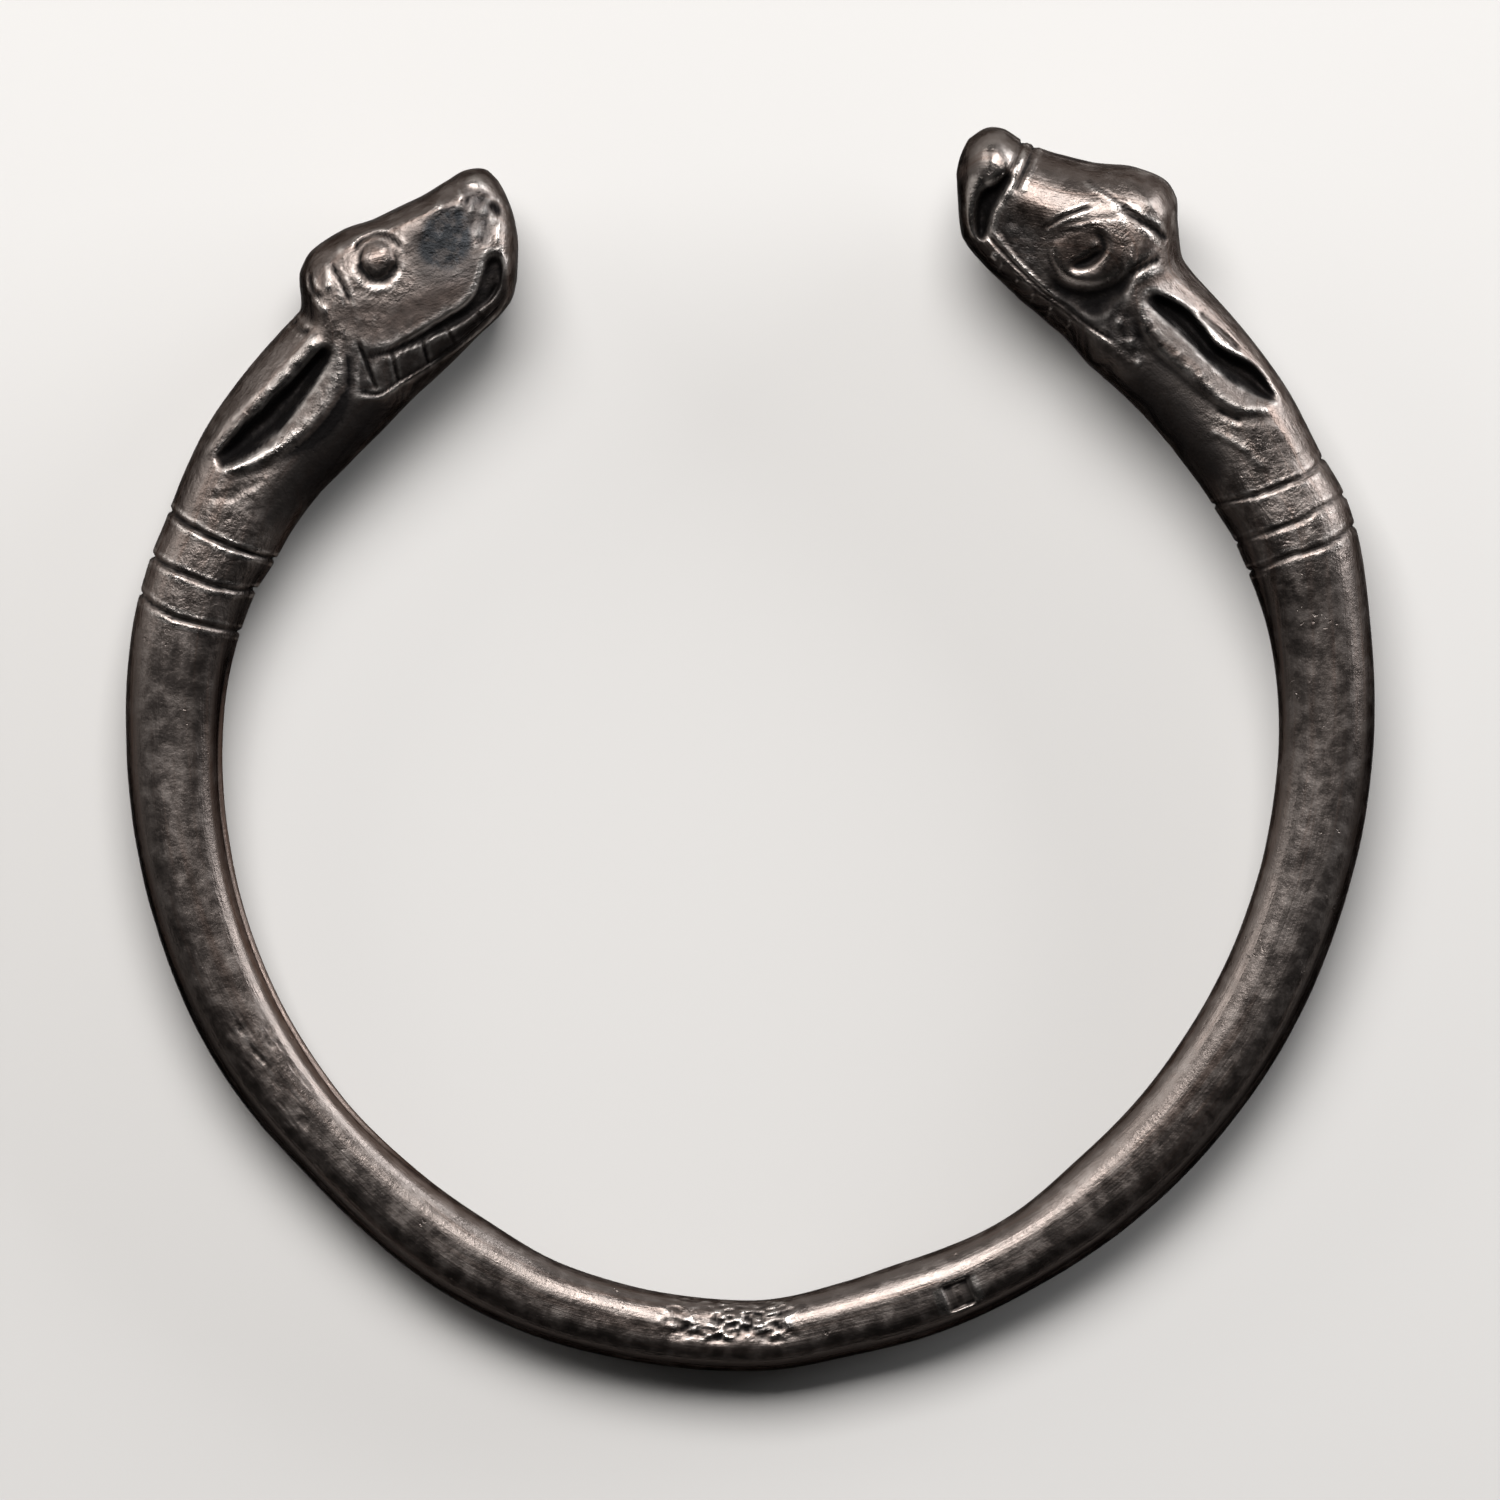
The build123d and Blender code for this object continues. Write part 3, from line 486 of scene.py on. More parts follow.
class Studio(bpy.types.PropertyGroup):
    """Floor, lights and camera"""

    floor_colour: bpy.props.FloatVectorProperty(
        name="Floor", description="Colour of the floor", default=(0.47, 0.46, 0.45), subtype="COLOR", size=3,
        min=0, max=1)
    floor_side: bpy.props.FloatProperty(
        name="Floor side", description="Length of the floor's sides", default=4.0, unit="LENGTH")
    camera_height: bpy.props.FloatProperty(
        name="Camera height", description="From the floor to the camera", default=0.9, unit="LENGTH")
    view_width: bpy.props.FloatProperty(
        name="View width", description="Width of the picture at the bangle, in bangle widths", default=1.192)
    key_power: bpy.props.FloatProperty(
        name="Key light", description="Power of the softbox beyond the heads", default=7.0, unit="POWER")
    rim_power: bpy.props.FloatProperty(
        name="Rim light", description="Power of the low box on the right", default=2.6, unit="POWER")
    side_power: bpy.props.FloatProperty(
        name="Side light", description="Power of the low box on the left", default=0.8, unit="POWER")
    sky: bpy.props.FloatProperty(
        name="Room light", description="Strength of the room's light beyond the heads", default=0.15)


def ease(share):
    """A smooth start and stop between 0 and 1."""
    share = np.clip(share, 0, 1)
    return share * share * (3 - 2 * share)


def smooth_table(knots, values, at):
    """Values at places between the knots, on a smooth curve that never overshoots them."""
    gaps = np.diff(knots)
    slopes = np.diff(values) / gaps
    bends = np.zeros(len(knots))
    product = slopes[1:] * slopes[:-1]
    total = slopes[1:] + slopes[:-1]
    same = product > 0
    bends[1:-1][same] = 2 * product[same] / total[same]
    bends[0] = slopes[0]
    bends[-1] = slopes[-1]
    here = np.clip(np.searchsorted(knots, at, side="right") - 1, 0, len(knots) - 2)
    gap = gaps[here]
    share = np.clip((at - knots[here]) / gap, 0, 1)
    swell = share * (1 - share) * gap * (bends[here] * (1 - share) - bends[here + 1] * share)
    return values[here] + (values[here + 1] - values[here]) * ease(share) + swell


class Rod:
    """The bent rod with its two heads, before any chasing."""

    def __init__(self, sizes):
        self.radius = sizes.hoop_radius
        self.left = Head(sizes.left_neck_angle, -1, sizes.left_head_length, sizes.left_head_height,
                         left_lines, left_grooves, left_patches, left_ear)
        self.right = Head(sizes.right_neck_angle + 2 * math.pi, 1, sizes.right_head_length,
                          sizes.right_head_height, right_lines, right_grooves, right_patches, right_ear)
        self.hoop_turn = self.right.neck - self.left.neck
        rows = [Section(self.left.neck, self.radius, sizes.left_neck_width, sizes.left_neck_thickness,
                        sizes.rod_flat, 0)]
        rows.append(Section(self.right.neck, self.radius + sizes.right_neck_set_out, sizes.right_neck_width,
                            sizes.right_neck_thickness, sizes.rod_flat, 0))
        for row in hoop_rows:
            rows.append(Section(
                self.left.neck + row.turn * self.hoop_turn,
                self.radius + row.set_out * sizes.rod_width,
                row.width * sizes.rod_width,
                row.thickness * sizes.rod_thickness,
                sizes.rod_flat,
                0,
            ))
        heads = ((self.left, left_rows, 0), (self.right, right_rows, sizes.right_head_roll))
        for head, table, roll in heads:
            for row in table:
                rows.append(Section(
                    self.turn_of(head, row.along),
                    self.radius + row.set_out * head.reach,
                    row.height * head.reach,
                    row.thickness * sizes.head_thickness,
                    row.flat,
                    roll * ease(row.along / sizes.roll_end),
                ))
        self.table = np.array(sorted(rows))

    def turn_of(self, head, along):
        """The angle of a share of a head's length."""
        return head.neck + head.way * along * head.length / self.radius

    def along_of(self, head, angle):
        """The share of a head's length at an angle."""
        return (angle - head.neck) * head.way * self.radius / head.length

    def sections(self, angles):
        """The sections at these angles, each value an array."""
        knots = self.table[:, 0]
        columns = [smooth_table(knots, self.table[:, column], angles) for column in range(1, 6)]
        return Section(angles, *columns)

    def place(self, head, spots):
        """The points of the hoop's plane below these spots of a head."""
        spots = np.array(spots)
        cut = self.sections(self.turn_of(head, spots[:, 0]))
        radius = cut.radius + spots[:, 1] * cut.width / 2
        return np.stack([radius * np.cos(cut.angle), radius * np.sin(cut.angle)], axis=1)


def curve_through(points, steps=6):
    """A smooth line through these points."""
    ends = np.vstack([2 * points[0] - points[1], points, 2 * points[-1] - points[-2]])
    share = np.linspace(0, 1, steps, endpoint=False)[:, None]
    line = []
    for a, b, c, d in zip(ends, ends[1:], ends[2:], ends[3:]):
        line.append(b + 0.5 * share * (
            c - a + share * (2 * a - 5 * b + 4 * c - d + share * (3 * b - a - 3 * c + d))))
    line.append(points[-1:])
    return np.vstack(line)


def nearest(points, line):
    """How far each point is from a line, and at which share of its length the line is nearest."""
    lengths = np.linalg.norm(np.diff(line, axis=0), axis=1)
    starts = np.concatenate([[0], np.cumsum(lengths)])
    best = np.full(len(points), np.inf)
    place = np.zeros(len(points))
    for start, length, a, b in zip(starts, lengths, line, line[1:]):
        if length == 0:
            continue
        share = np.clip((points - a) @ (b - a) / length ** 2, 0, 1)
        far = np.linalg.norm(points - a - share[:, None] * (b - a), axis=1)
        closer = far < best
        best[closer] = far[closer]
        place[closer] = (start + share * length)[closer] / starts[-1]
    return best, place


def inside(points, outline):
    """How deep each point lies inside a closed outline, below zero outside it."""
    closed = np.vstack([outline, outline[:1]])
    within = np.zeros(len(points), bool)
    for a, b in zip(closed, closed[1:]):
        crosses = (a[1] > points[:, 1]) != (b[1] > points[:, 1])
        where = a[0] + (points[:, 1] - a[1]) / (b[1] - a[1] + 1e-12) * (b[0] - a[0])
        within ^= crosses & (points[:, 0] < where)
    return np.where(within, 1, -1) * nearest(points, closed)[0]


def ripple(points, size, seed):
    """Even random waves of about this length through space, from -1 to 1."""
    waves = 24
    draw = np.random.default_rng(seed)
    way = draw.normal(size=(waves, 3))
    way *= 2 * math.pi / size / np.linalg.norm(way, axis=1)[:, None] * draw.uniform(0.7, 1.4, (waves, 1))
    phase = draw.uniform(0, 2 * math.pi, waves)
    total = np.zeros(points.shape[:-1])
    for step, start in zip(way, phase):
        total += np.cos(points @ step + start)
    return np.clip(total / math.sqrt(waves), -2, 2) / 2


def window(share, start, end, edge):
    """1 between start and end, and smoothly 0 outside them."""
    return ease((share - start) / edge + 0.5) * ease((end - share) / edge + 0.5)


def softened(grid):
    """A grid of heights with each point drawn twice towards its neighbours."""
    for _ in range(2):
        grid = (2 * grid + np.roll(grid, 1, axis=1) + np.roll(grid, -1, axis=1)) / 4
        padded = np.vstack([grid[:1], grid, grid[-1:]])
        grid = (2 * grid + padded[:-2] + padded[2:]) / 4
    return grid


class Chasing:
    """Heights above the bare rod, and each point's grime and painted shade, oxide, brown, rubbed shine and
    painted highlight, and smoothness.
    """

    def __init__(self, shape):
        self.rise = np.zeros(shape)
        self.grime = np.zeros(shape)
        self.oxide = np.zeros(shape)
        self.brown = np.zeros(shape)
        self.rubbed = np.zeros(shape)
        self.smooth = np.ones(shape)


def chase_line(points, rise, line, path):
    """Adds one ridge, or one cut with the burr beside it, faded out at its ends."""
    far, share = nearest(points, path)
    width = line.width * MM / 2
    ends = ease(share / 0.12 + 0.25) * ease((1 - share) / 0.12 + 0.25)
    rise += line.rise * MM * np.exp(-(far / width) ** 2 * 1.3) * ends
    if line.rise < 0:
        rise -= 0.10 * line.rise * MM * np.exp(-((far - 1.7 * width) / (0.6 * width)) ** 2) * ends


def chase_ear(points, rise, grime, rough, ear, rod, head):
    """Adds an ear's hollow, the slope up to its lower rim and the step at the rim's foot, with shade painted
    black into the hollow, up the foot of the slope and down the outer side of the rim.
    """
    upper, floor, crest, outer = [
        curve_through(rod.place(head, line)) for line in (ear.upper, ear.floor, ear.crest, ear.outer)]
    from_upper = nearest(points, upper)[0]
    from_floor, along = nearest(points, floor)
    from_crest = nearest(points, crest)[0]
    from_outer = nearest(points, outer)[0]
    ends = (ease(along / 0.14) * ease((1 - along) / 0.14)) ** 0.6
    hollow = inside(points, np.vstack([upper, floor[::-1]])) > 0
    slope = inside(points, np.vstack([floor, crest[::-1]])) > 0
    rim = inside(points, np.vstack([crest, outer[::-1]])) > 0
    fallen = from_upper / (from_upper + from_floor)
    risen = from_floor / (from_floor + from_crest)
    past = from_crest / (from_crest + from_outer)
    bend = (1 - ear.swell) * risen + ear.swell * np.sin(risen * math.pi / 2)
    climb = ease((fallen - 0.6) / 0.4)
    rise += MM * ends * np.select(
        [hollow, slope, rim],
        [
            -ear.depth * ease(fallen / ear.fall) * (1 - climb) - ear.sill * climb,
            -ear.sill + (ear.sill + ear.crest_rise) * bend + 0.05 * rough,
            ear.foot + (ear.crest_rise - ear.foot) * np.cos(past * math.pi / 2),
        ],
        -0.10 * np.exp(-(from_outer / (0.6 * MM)) ** 2),
    )
    # Painted shade, with some patina in the hollow: black through the hollow, fading up the slope, darker
    # towards the rim's outer step and just beyond it
    grime += np.select(
        [hollow, slope],
        [ease((fallen + 0.02) / 0.12), np.maximum(1 - ease(risen / 0.25), 0.5 - 0.4 * risen)],
        np.where(rim, 0.45 * ease((past - 0.3) / 0.7), 0.7 * np.exp(-(from_outer / (0.5 * MM)) ** 2)),
    ) * ease(along / 0.04) * ease((1 - along) / 0.04)


def chase_groove(groove, head, side, spread, waver, rise):
    """Adds one groove round a neck, with the burr beside it."""
    spots = np.array(sorted(groove.spots, key=lambda spot: spot[1]))
    middle = np.interp(side, spots[:, 1], spots[:, 0])
    far = np.abs(spread - middle) * head.length
    width = groove.width * MM / 2
    cut = groove.rise * MM * (0.85 + 0.3 * waver)
    rise += cut * np.exp(-(far / width) ** 2 * 1.3)
    rise -= 0.12 * cut * np.exp(-((far - 1.8 * width) / (0.7 * width)) ** 2)


def chase_head(rod, head, angles, across, facing, points, places, chasing):
    """Adds everything that is worked into one head."""
    along = rod.along_of(head, angles)
    rows = np.nonzero(along > -0.2)[0]
    shape = (len(rows), across.shape[1])
    flat = places[rows].reshape(-1, 2)
    solid = points[rows].reshape(-1, 3)
    rise = np.zeros(len(flat))
    grime = np.zeros(len(flat))
    masks = {name: np.zeros(len(flat)) for name in ("oxide", "brown", "rubbed", "polish")}
    side = across[rows].reshape(-1)
    coarse = ripple(solid, 0.9 * MM, 3)
    fine = ripple(solid, 0.45 * MM, 4)
    for patch in head.patches.values():
        outline = curve_through(rod.place(head, patch.spots + patch.spots[:1]), 4)
        depth = inside(flat, outline) / (patch.edge * MM)
        cover = ease(depth + 0.3)
        crownmost = max(spot[1] for spot in patch.spots)
        jawmost = min(spot[1] for spot in patch.spots)
        lean = patch.lean * np.clip((crownmost - side) / (crownmost - jawmost), 0, 1)
        rise += cover * (patch.rise + lean + patch.rough * (coarse * 0.7 + fine * 0.6)) * MM
        grime = np.maximum(grime, patch.grime * ease(depth + 0.6))
        for name, mask in masks.items():
            np.maximum(mask, getattr(patch, name) * cover, out=mask)
    chase_ear(flat, rise, grime, fine, head.ear, rod, head)
    rise = softened(rise.reshape(shape)).reshape(-1)
    for line in head.lines.values():
        chase_line(flat, rise, line, curve_through(rod.place(head, line.spots)))
    rise += (1 - masks["polish"]) * (0.018 * coarse + 0.012 * fine) * MM
    spread = np.repeat(along[rows], across.shape[1])
    waver = ripple(solid, 4 * MM, 9)
    for groove in head.grooves:
        chase_groove(groove, head, side, spread, waver, rise)
    rise = rise.reshape(shape)
    chasing.rise[rows] += np.where(rise > 0, rise * ease(1.6 * facing[rows]), rise)
    top = ease(2 * facing[rows])
    chasing.grime[rows] = np.maximum(chasing.grime[rows], grime.reshape(shape) * top)
    chasing.smooth[rows] *= 1 - window(along[rows], -0.12, 1.2, 0.2)[:, None]
    held = {
        "oxide": chasing.oxide,
        "brown": chasing.brown,
        "rubbed": chasing.rubbed,
        "polish": chasing.smooth,
    }
    for name, kept in held.items():
        kept[rows] = np.maximum(kept[rows], masks[name].reshape(shape) * top)


def eye_pellet(rod, places, chasing):
    """Adds the domed pellet of the left eye."""
    middle = rod.place(rod.left, [pellet.spot])[0]
    far = np.linalg.norm(places - middle, axis=-1) / (pellet.size * MM)
    chasing.rise += pellet.rise * MM * np.sqrt(np.clip(1 - far ** 2, 0, 1))


def nose_bulb(rod, facing, places, chasing):
    """Adds the round tip of the right nose."""
    middle = rod.place(rod.right, [bulb.spot])[0]
    far = np.linalg.norm(places - middle, axis=-1) / (bulb.size * MM)
    chasing.rise += bulb.rise * MM * np.clip(1 - far ** 2, 0, 1) * ease(2.2 * facing - 0.6)


def chase_hoop(rod, angles, across, up, points, chasing):
    """Adds the hammered, worn and nicked surface of the rod between the necks."""
    turn = ((angles - rod.left.neck) / rod.hoop_turn)[:, None]
    hoop = window(turn, 0.03, 0.97, 0.03)
    shown = ease(up * 4)
    broad = ripple(points, 9 * MM, 21)
    small = ripple(points, 3.5 * MM, 22)
    coarse = ripple(points, 1.1 * MM, 23)
    fine = ripple(points, 0.55 * MM, 24)
    chasing.rise += hoop * (0.035 * broad + 0.010 * small - 0.035) * MM
    bevel = window(turn, 0.05, 0.30, 0.08) * np.clip(-across - 0.74, 0, 1) * shown
    chasing.rise -= 1.3 * MM * bevel
    brown_edge = window(turn, 0.04, 0.34, 0.08) * ease((-across - 0.7) / 0.12)
    chasing.brown = np.maximum(chasing.brown, brown_edge)
    rough = window(turn, *worked, 0.02) * window(across, -0.95, 0.1, 0.35) * shown
    patchy = ease(ripple(points, 2.4 * MM, 25) + 0.8)
    chasing.rise += rough * patchy * (-0.10 + 0.24 * coarse + 0.19 * fine) * MM
    chasing.smooth *= 1 - rough
    nicks = window(turn, *nicked, 0.03) * window(across, -0.5, 0.35, 0.4) * shown
    chasing.rise -= nicks * patchy * 0.16 * MM * ease((coarse + fine - 0.45) / 0.4)


def punch(rod, places, up, chasing):
    """Adds the square dent punched in the hoop."""
    turn, across = dent.spot
    angle = rod.left.neck + turn * rod.hoop_turn
    cut = rod.sections(np.array([angle]))
    outward = np.array([math.cos(angle), math.sin(angle)])
    aside = np.array([-outward[1], outward[0]])
    away = places - outward * (cut.radius[0] + across * cut.width[0] / 2)
    edge = np.maximum(np.abs(away @ outward), np.abs(away @ aside))
    cover = ease((dent.size * MM / 2 - edge) / (0.25 * MM) + 0.5) * (up > 0)
    chasing.rise += dent.rise * MM * cover


def row_angles(rod):
    """The angles of the mesh's rows, closer together where there is more to show."""
    stops = [
        (rod.turn_of(rod.left, 1.0), HEAD_STEP),
        (rod.turn_of(rod.left, 0.0), NECK_STEP),
        (rod.turn_of(rod.left, NECK_FOOT), HOOP_STEP),
    ]
    for start, end, step in close_stretches:
        stops.append((rod.left.neck + start * rod.hoop_turn, step))
        stops.append((rod.left.neck + end * rod.hoop_turn, HOOP_STEP))
    stops.append((rod.turn_of(rod.right, NECK_FOOT), NECK_STEP))
    stops.append((rod.turn_of(rod.right, 0.0), HEAD_STEP))
    stops.append((rod.turn_of(rod.right, 1.0), HEAD_STEP))
    angles = [stops[0][0]]
    for (start, step), (end, _) in zip(stops, stops[1:]):
        count = max(1, round((end - start) * rod.radius / step))
        angles += list(np.linspace(start, end, count + 1)[1:])
    return np.array(angles)


def ring(cut, upper, lower):
    """The section's outline by rows and columns: crownward and upward distances from its middle."""
    half_width = cut.width[:, None] / 2
    level = cut.flat[:, None] * half_width
    dome = half_width - level
    half = cut.thickness[:, None] / 2
    arc = math.pi / 2 * np.sqrt((dome ** 2 + half ** 2) / 2)
    bend = arc / (arc + level)
    outs = []
    ups = []
    quarters = [(upper, 1, 1, False), (upper, -1, 1, True), (lower, -1, -1, False), (lower, 1, -1, True)]
    for count, crownward, upward, backward in quarters:
        share = np.linspace(0, 1, count, endpoint=False)
        if backward:
            share = 1 - share
        share = share[None, :]
        turn = np.clip(share / bend, 0, 1) * math.pi / 2
        out = np.where(share < bend, level + dome * np.cos(turn), level * (1 - share) / (1 - bend))
        outs.append(crownward * out)
        ups.append(upward * half * np.where(share < bend, np.sin(turn), 1))
    return np.hstack(outs), np.hstack(ups)


def curving(points, step):
    """How far each point stands proud of the points round it, in metres."""
    around = (np.roll(points, step, axis=1) + np.roll(points, -step, axis=1)) / 2
    ahead = np.empty_like(points)
    ahead[step:-step] = (points[2 * step:] + points[:-2 * step]) / 2
    ahead[:step] = points[:step]
    ahead[-step:] = points[-step:]
    return points - (around + ahead) / 2


def normals_of(points):
    """Unit normals of a grid of points that closes round its columns."""
    around = np.roll(points, -1, axis=1) - np.roll(points, 1, axis=1)
    ahead = np.gradient(points, axis=0)
    normal = np.cross(around, ahead)
    normal /= np.linalg.norm(normal, axis=-1, keepdims=True)
    outward = points - points.mean(axis=1, keepdims=True)
    if (normal * outward).sum() < 0:
        normal = -normal
    return normal


def closed_end(ring_points, forward, bulge):
    """Rings that close the end of the rod with a low dome, and the dome's top."""
    middle = ring_points.mean(axis=0)
    rings = []
    for share in (0.88, 0.70, 0.45, 0.22):
        rings.append(middle + (ring_points - middle) * share + forward * bulge * (1 - share ** 2))
    return rings, middle + forward * bulge


def lay_down(points):
    """Turns the points so that they rest on a foot of each head and on the hoop's back."""
    front = points[points[:, 1] > 0]
    left = front[front[:, 0] < 0]
    right = front[front[:, 0] > 0]
    left_foot = left[left[:, 2].argmin()]
    right_foot = right[right[:, 2].argmin()]
    back = points[points[:, 1] < 0]
    slope = (back[:, 2] - left_foot[2]) / (left_foot[1] - back[:, 1])
    back_foot = back[slope.argmin()]
    up = np.cross(back_foot - left_foot, right_foot - left_foot)
    up /= np.linalg.norm(up)
    aside = np.array([up[2], 0, -up[0]])
    aside /= np.linalg.norm(aside)
    ahead = np.cross(up, aside)
    return np.stack([aside, ahead, up], axis=1)


def wear(rod, angles, normals, bare, points, chasing):
    """The masks of the finish: rubbed wear with painted highlights, grime with painted shade, tarnish and
    smoothness, and the painted shade of the flanks away from the light.
    """
    proud = ((curving(points, 3) - curving(bare, 3)) * normals).sum(axis=-1)
    # Ridges worn bright, together with the patches rubbed bright as painted highlights
    worn = np.maximum(ease((proud - 0.01 * MM) / (0.07 * MM)), chasing.rubbed)
    sunken = ease((-proud - 0.01 * MM) / (0.10 * MM))
    deep = ease((-chasing.rise - 0.3 * MM) / (1.0 * MM))
    grime = np.maximum(np.maximum(sunken, deep), chasing.grime)
    # Painted shade on the flanks: the steeper a point is and the more it faces away from the key light
    # beyond the heads, the darker it is painted, less so underneath and on rubbed ridges
    hoop = window((angles - rod.left.neck) / rod.hoop_turn, 0.0, 1.0, 0.08)[:, None]
    lean = 0.8 * (1 + hoop) * normals[..., 1] + (0.35 - 0.5 * hoop) * normals[..., 0]
    shaded = ease(0.5 + 0.1 * hoop - lean)
    flank = ease((0.95 - normals[..., 2]) / 0.40) * ease((normals[..., 2] + 0.75) / 0.5)
    flank *= (0.15 + 0.85 * shaded) * (0.55 + 0.45 * ease(normals[..., 2] / 0.4)) * (1 - 0.7 * worn)
    return {
        "grime": grime,
        "worn": worn,
        "oxide": chasing.oxide,
        "brown": chasing.brown,
        "flank": flank,
        "smooth": chasing.smooth,
    }


def with_ends(points):
    """All rings of the casting with the domed ones of both ends, and the tops of the two domes."""
    rings = list(points)
    tops = []
    for last, before in ((0, 1), (-1, -2)):
        forward = points[last].mean(axis=0) - points[before].mean(axis=0)
        forward /= np.linalg.norm(forward)
        caps, top = closed_end(points[last], forward, END_DOME)
        rings = caps[::-1] + rings if last == 0 else rings + caps
        tops.append(top)
    return np.array(rings), tops


def faces_between(count, columns):
    """Four-cornered faces between the rings, and triangles round the tops of both ends."""
    first = np.arange(count * columns).reshape(count, columns)
    around = np.roll(first, -1, axis=1)
    faces = np.stack([first[:-1], around[:-1], around[1:], first[1:]], axis=-1).reshape(-1, 4).tolist()
    faces += [[count * columns, b, a] for a, b in zip(first[0], around[0])]
    faces += [[count * columns + 1, a, b] for a, b in zip(first[-1], around[-1])]
    return faces


def in_place(vertices):
    """The vertices laid down, centred on the solid's box and worn down to stay below its top."""
    turned = vertices @ lay_down(vertices)
    low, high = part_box("bracelet")
    shift = (np.array(low) + np.array(high)) / 2 - (turned.min(axis=0) + turned.max(axis=0)) / 2
    shift[2] = low[2] - turned[:, 2].min()
    turned += shift
    worn_top = high[2] - TOP_WEAR
    above = np.maximum(turned[:, 2] - worn_top, 0) / TOP_WEAR
    turned[:, 2] = np.minimum(turned[:, 2], worn_top) + TOP_WEAR * np.tanh(above)
    return turned


def bangle_mesh(sizes):
    """The whole casting as one closed mesh, with its wear, tarnish and painted light and shade as
    attributes.
    """
    rod = Rod(sizes)
    angles = row_angles(rod)
    cut = rod.sections(angles)
    out, up = ring(cut, UPPER_COLUMNS, LOWER_COLUMNS)
    outward = np.stack([np.cos(angles), np.sin(angles), np.zeros(len(angles))], axis=1)[:, None, :]
    roll = cut.roll[:, None, None]
    upward = np.array([0.0, 0.0, 1.0])
    crown = outward * np.cos(roll) + upward * np.sin(roll)
    cheek = upward * np.cos(roll) - outward * np.sin(roll)
    middle = outward * cut.radius[:, None, None]
    bare = middle + crown * out[..., None] + cheek * up[..., None]
    normals = normals_of(bare)
    facing = np.abs(normals[..., 2])
    places = (middle + crown * out[..., None] + cheek * np.abs(up)[..., None])[..., :2]
    across = (np.linalg.norm(places, axis=-1) - cut.radius[:, None]) / (cut.width[:, None] / 2)

    chasing = Chasing(out.shape)
    chase_hoop(rod, angles, across, up / (cut.thickness[:, None] / 2), bare, chasing)
    for head in (rod.left, rod.right):
        chase_head(rod, head, angles, across, facing, bare, places, chasing)
    eye_pellet(rod, places, chasing)
    nose_bulb(rod, facing, places, chasing)
    punch(rod, places, up, chasing)

    # Relief goes straight up or down on the faces and along the normal on the steep flanks
    plumb = ease((facing[..., None] - 0.2) / 0.25)
    aim = normals * (1 - plumb) + upward * np.sign(normals[..., 2:]) * plumb
    aim /= np.linalg.norm(aim, axis=-1, keepdims=True)
    points = bare + aim * chasing.rise[..., None]

    rings, tops = with_ends(points)
    count, columns = rings.shape[:2]
    vertices = np.vstack([rings.reshape(-1, 3), tops[0], tops[1]])
    mesh = bpy.data.meshes.new("bracelet_silver")
    mesh.from_pydata(in_place(vertices).tolist(), [], faces_between(count, columns))
    mesh.validate()

    # The rings of the domed ends carry the values of the rows they close
    extra = (count - len(points)) // 2
    rows = np.clip(np.arange(count) - extra, 0, len(points) - 1)
    for name, values in wear(rod, angles, normals, bare, points, chasing).items():
        spread = np.concatenate([values[rows].reshape(-1), values[0, :1], values[-1, :1]])
        layer = mesh.attributes.new(name, "FLOAT", "POINT")
        layer.data.foreach_set("value", spread.astype(np.float32))

    # lie is the way along and round the rod, which streaks and scratches follow
    along = np.repeat((cut.angle * rod.radius)[rows], columns)
    step = np.linalg.norm(np.diff(points, axis=1), axis=2)
    girth = np.hstack([np.zeros((len(points), 1)), np.cumsum(step, axis=1)])[rows].reshape(-1)
    lie = np.stack([along, girth, np.zeros(len(along))], axis=1)
    lie = np.vstack([lie, lie[:1], lie[-1:]])
    layer = mesh.attributes.new("lie", "FLOAT_VECTOR", "POINT")
    layer.data.foreach_set("vector", lie.astype(np.float32).reshape(-1))
    mesh.shade_smooth()
    return mesh


class Nodes:
    """Short ways to add shader nodes to a material."""

    def __init__(self, material):
        material.use_nodes = True
        self.tree = material.node_tree
        self.tree.nodes.clear()

    def add(self, kind, inputs=(), **settings):
        """A node with its settings, and its sockets linked or set."""
        node = self.tree.nodes.new(kind)
        for name, value in settings.items():
            setattr(node, name, value)
        for name, value in dict(inputs).items():
            if isinstance(value, bpy.types.NodeSocket):
                self.tree.links.new(value, node.inputs[name])
            else:
                node.inputs[name].default_value = value
        return node

    def mask(self, name):
        """A mesh attribute that runs from 0 to 1."""
        return self.add("ShaderNodeAttribute", attribute_name=name).outputs["Fac"]

    def reckon(self, kind, a, b, clamp):
        """Two values put together, kept from 0 to 1 if clamp is set."""
        return self.add("ShaderNodeMath", {0: a, 1: b}, operation=kind, use_clamp=clamp).outputs[0]

    def times(self, a, b, clamp=True):
        """One value times another."""
        return self.reckon("MULTIPLY", a, b, clamp)

    def plus(self, a, b, clamp=True):
        """One value and another."""
        return self.reckon("ADD", a, b, clamp)

    def minus(self, a, b, clamp=True):
        """One value less another."""
        return self.reckon("SUBTRACT", a, b, clamp)

    def between(self, value, low, high, to_low=0.0, to_high=1.0):
        """The value's range mapped smoothly to another."""
        inputs = {"Value": value, "From Min": low, "From Max": high, "To Min": to_low, "To Max": to_high}
        return self.add("ShaderNodeMapRange", inputs, interpolation_type="SMOOTHSTEP").outputs[0]

    def mix(self, share, a, b):
        """Two colours mixed."""
        return self.add("ShaderNodeMix", {0: share, 6: a, 7: b}, data_type="RGBA").outputs[2]

    def noise(self, place, scale, detail=3.0, roughness=0.5):
        """Cloudy noise."""
        inputs = {"Vector": place, "Scale": scale, "Detail": detail, "Roughness": roughness}
        return self.add("ShaderNodeTexNoise", inputs).outputs["Fac"]

    def stretched(self, place, scale):
        """The place with each of its directions scaled."""
        return self.add("ShaderNodeMapping", {"Vector": place, "Scale": scale}).outputs[0]


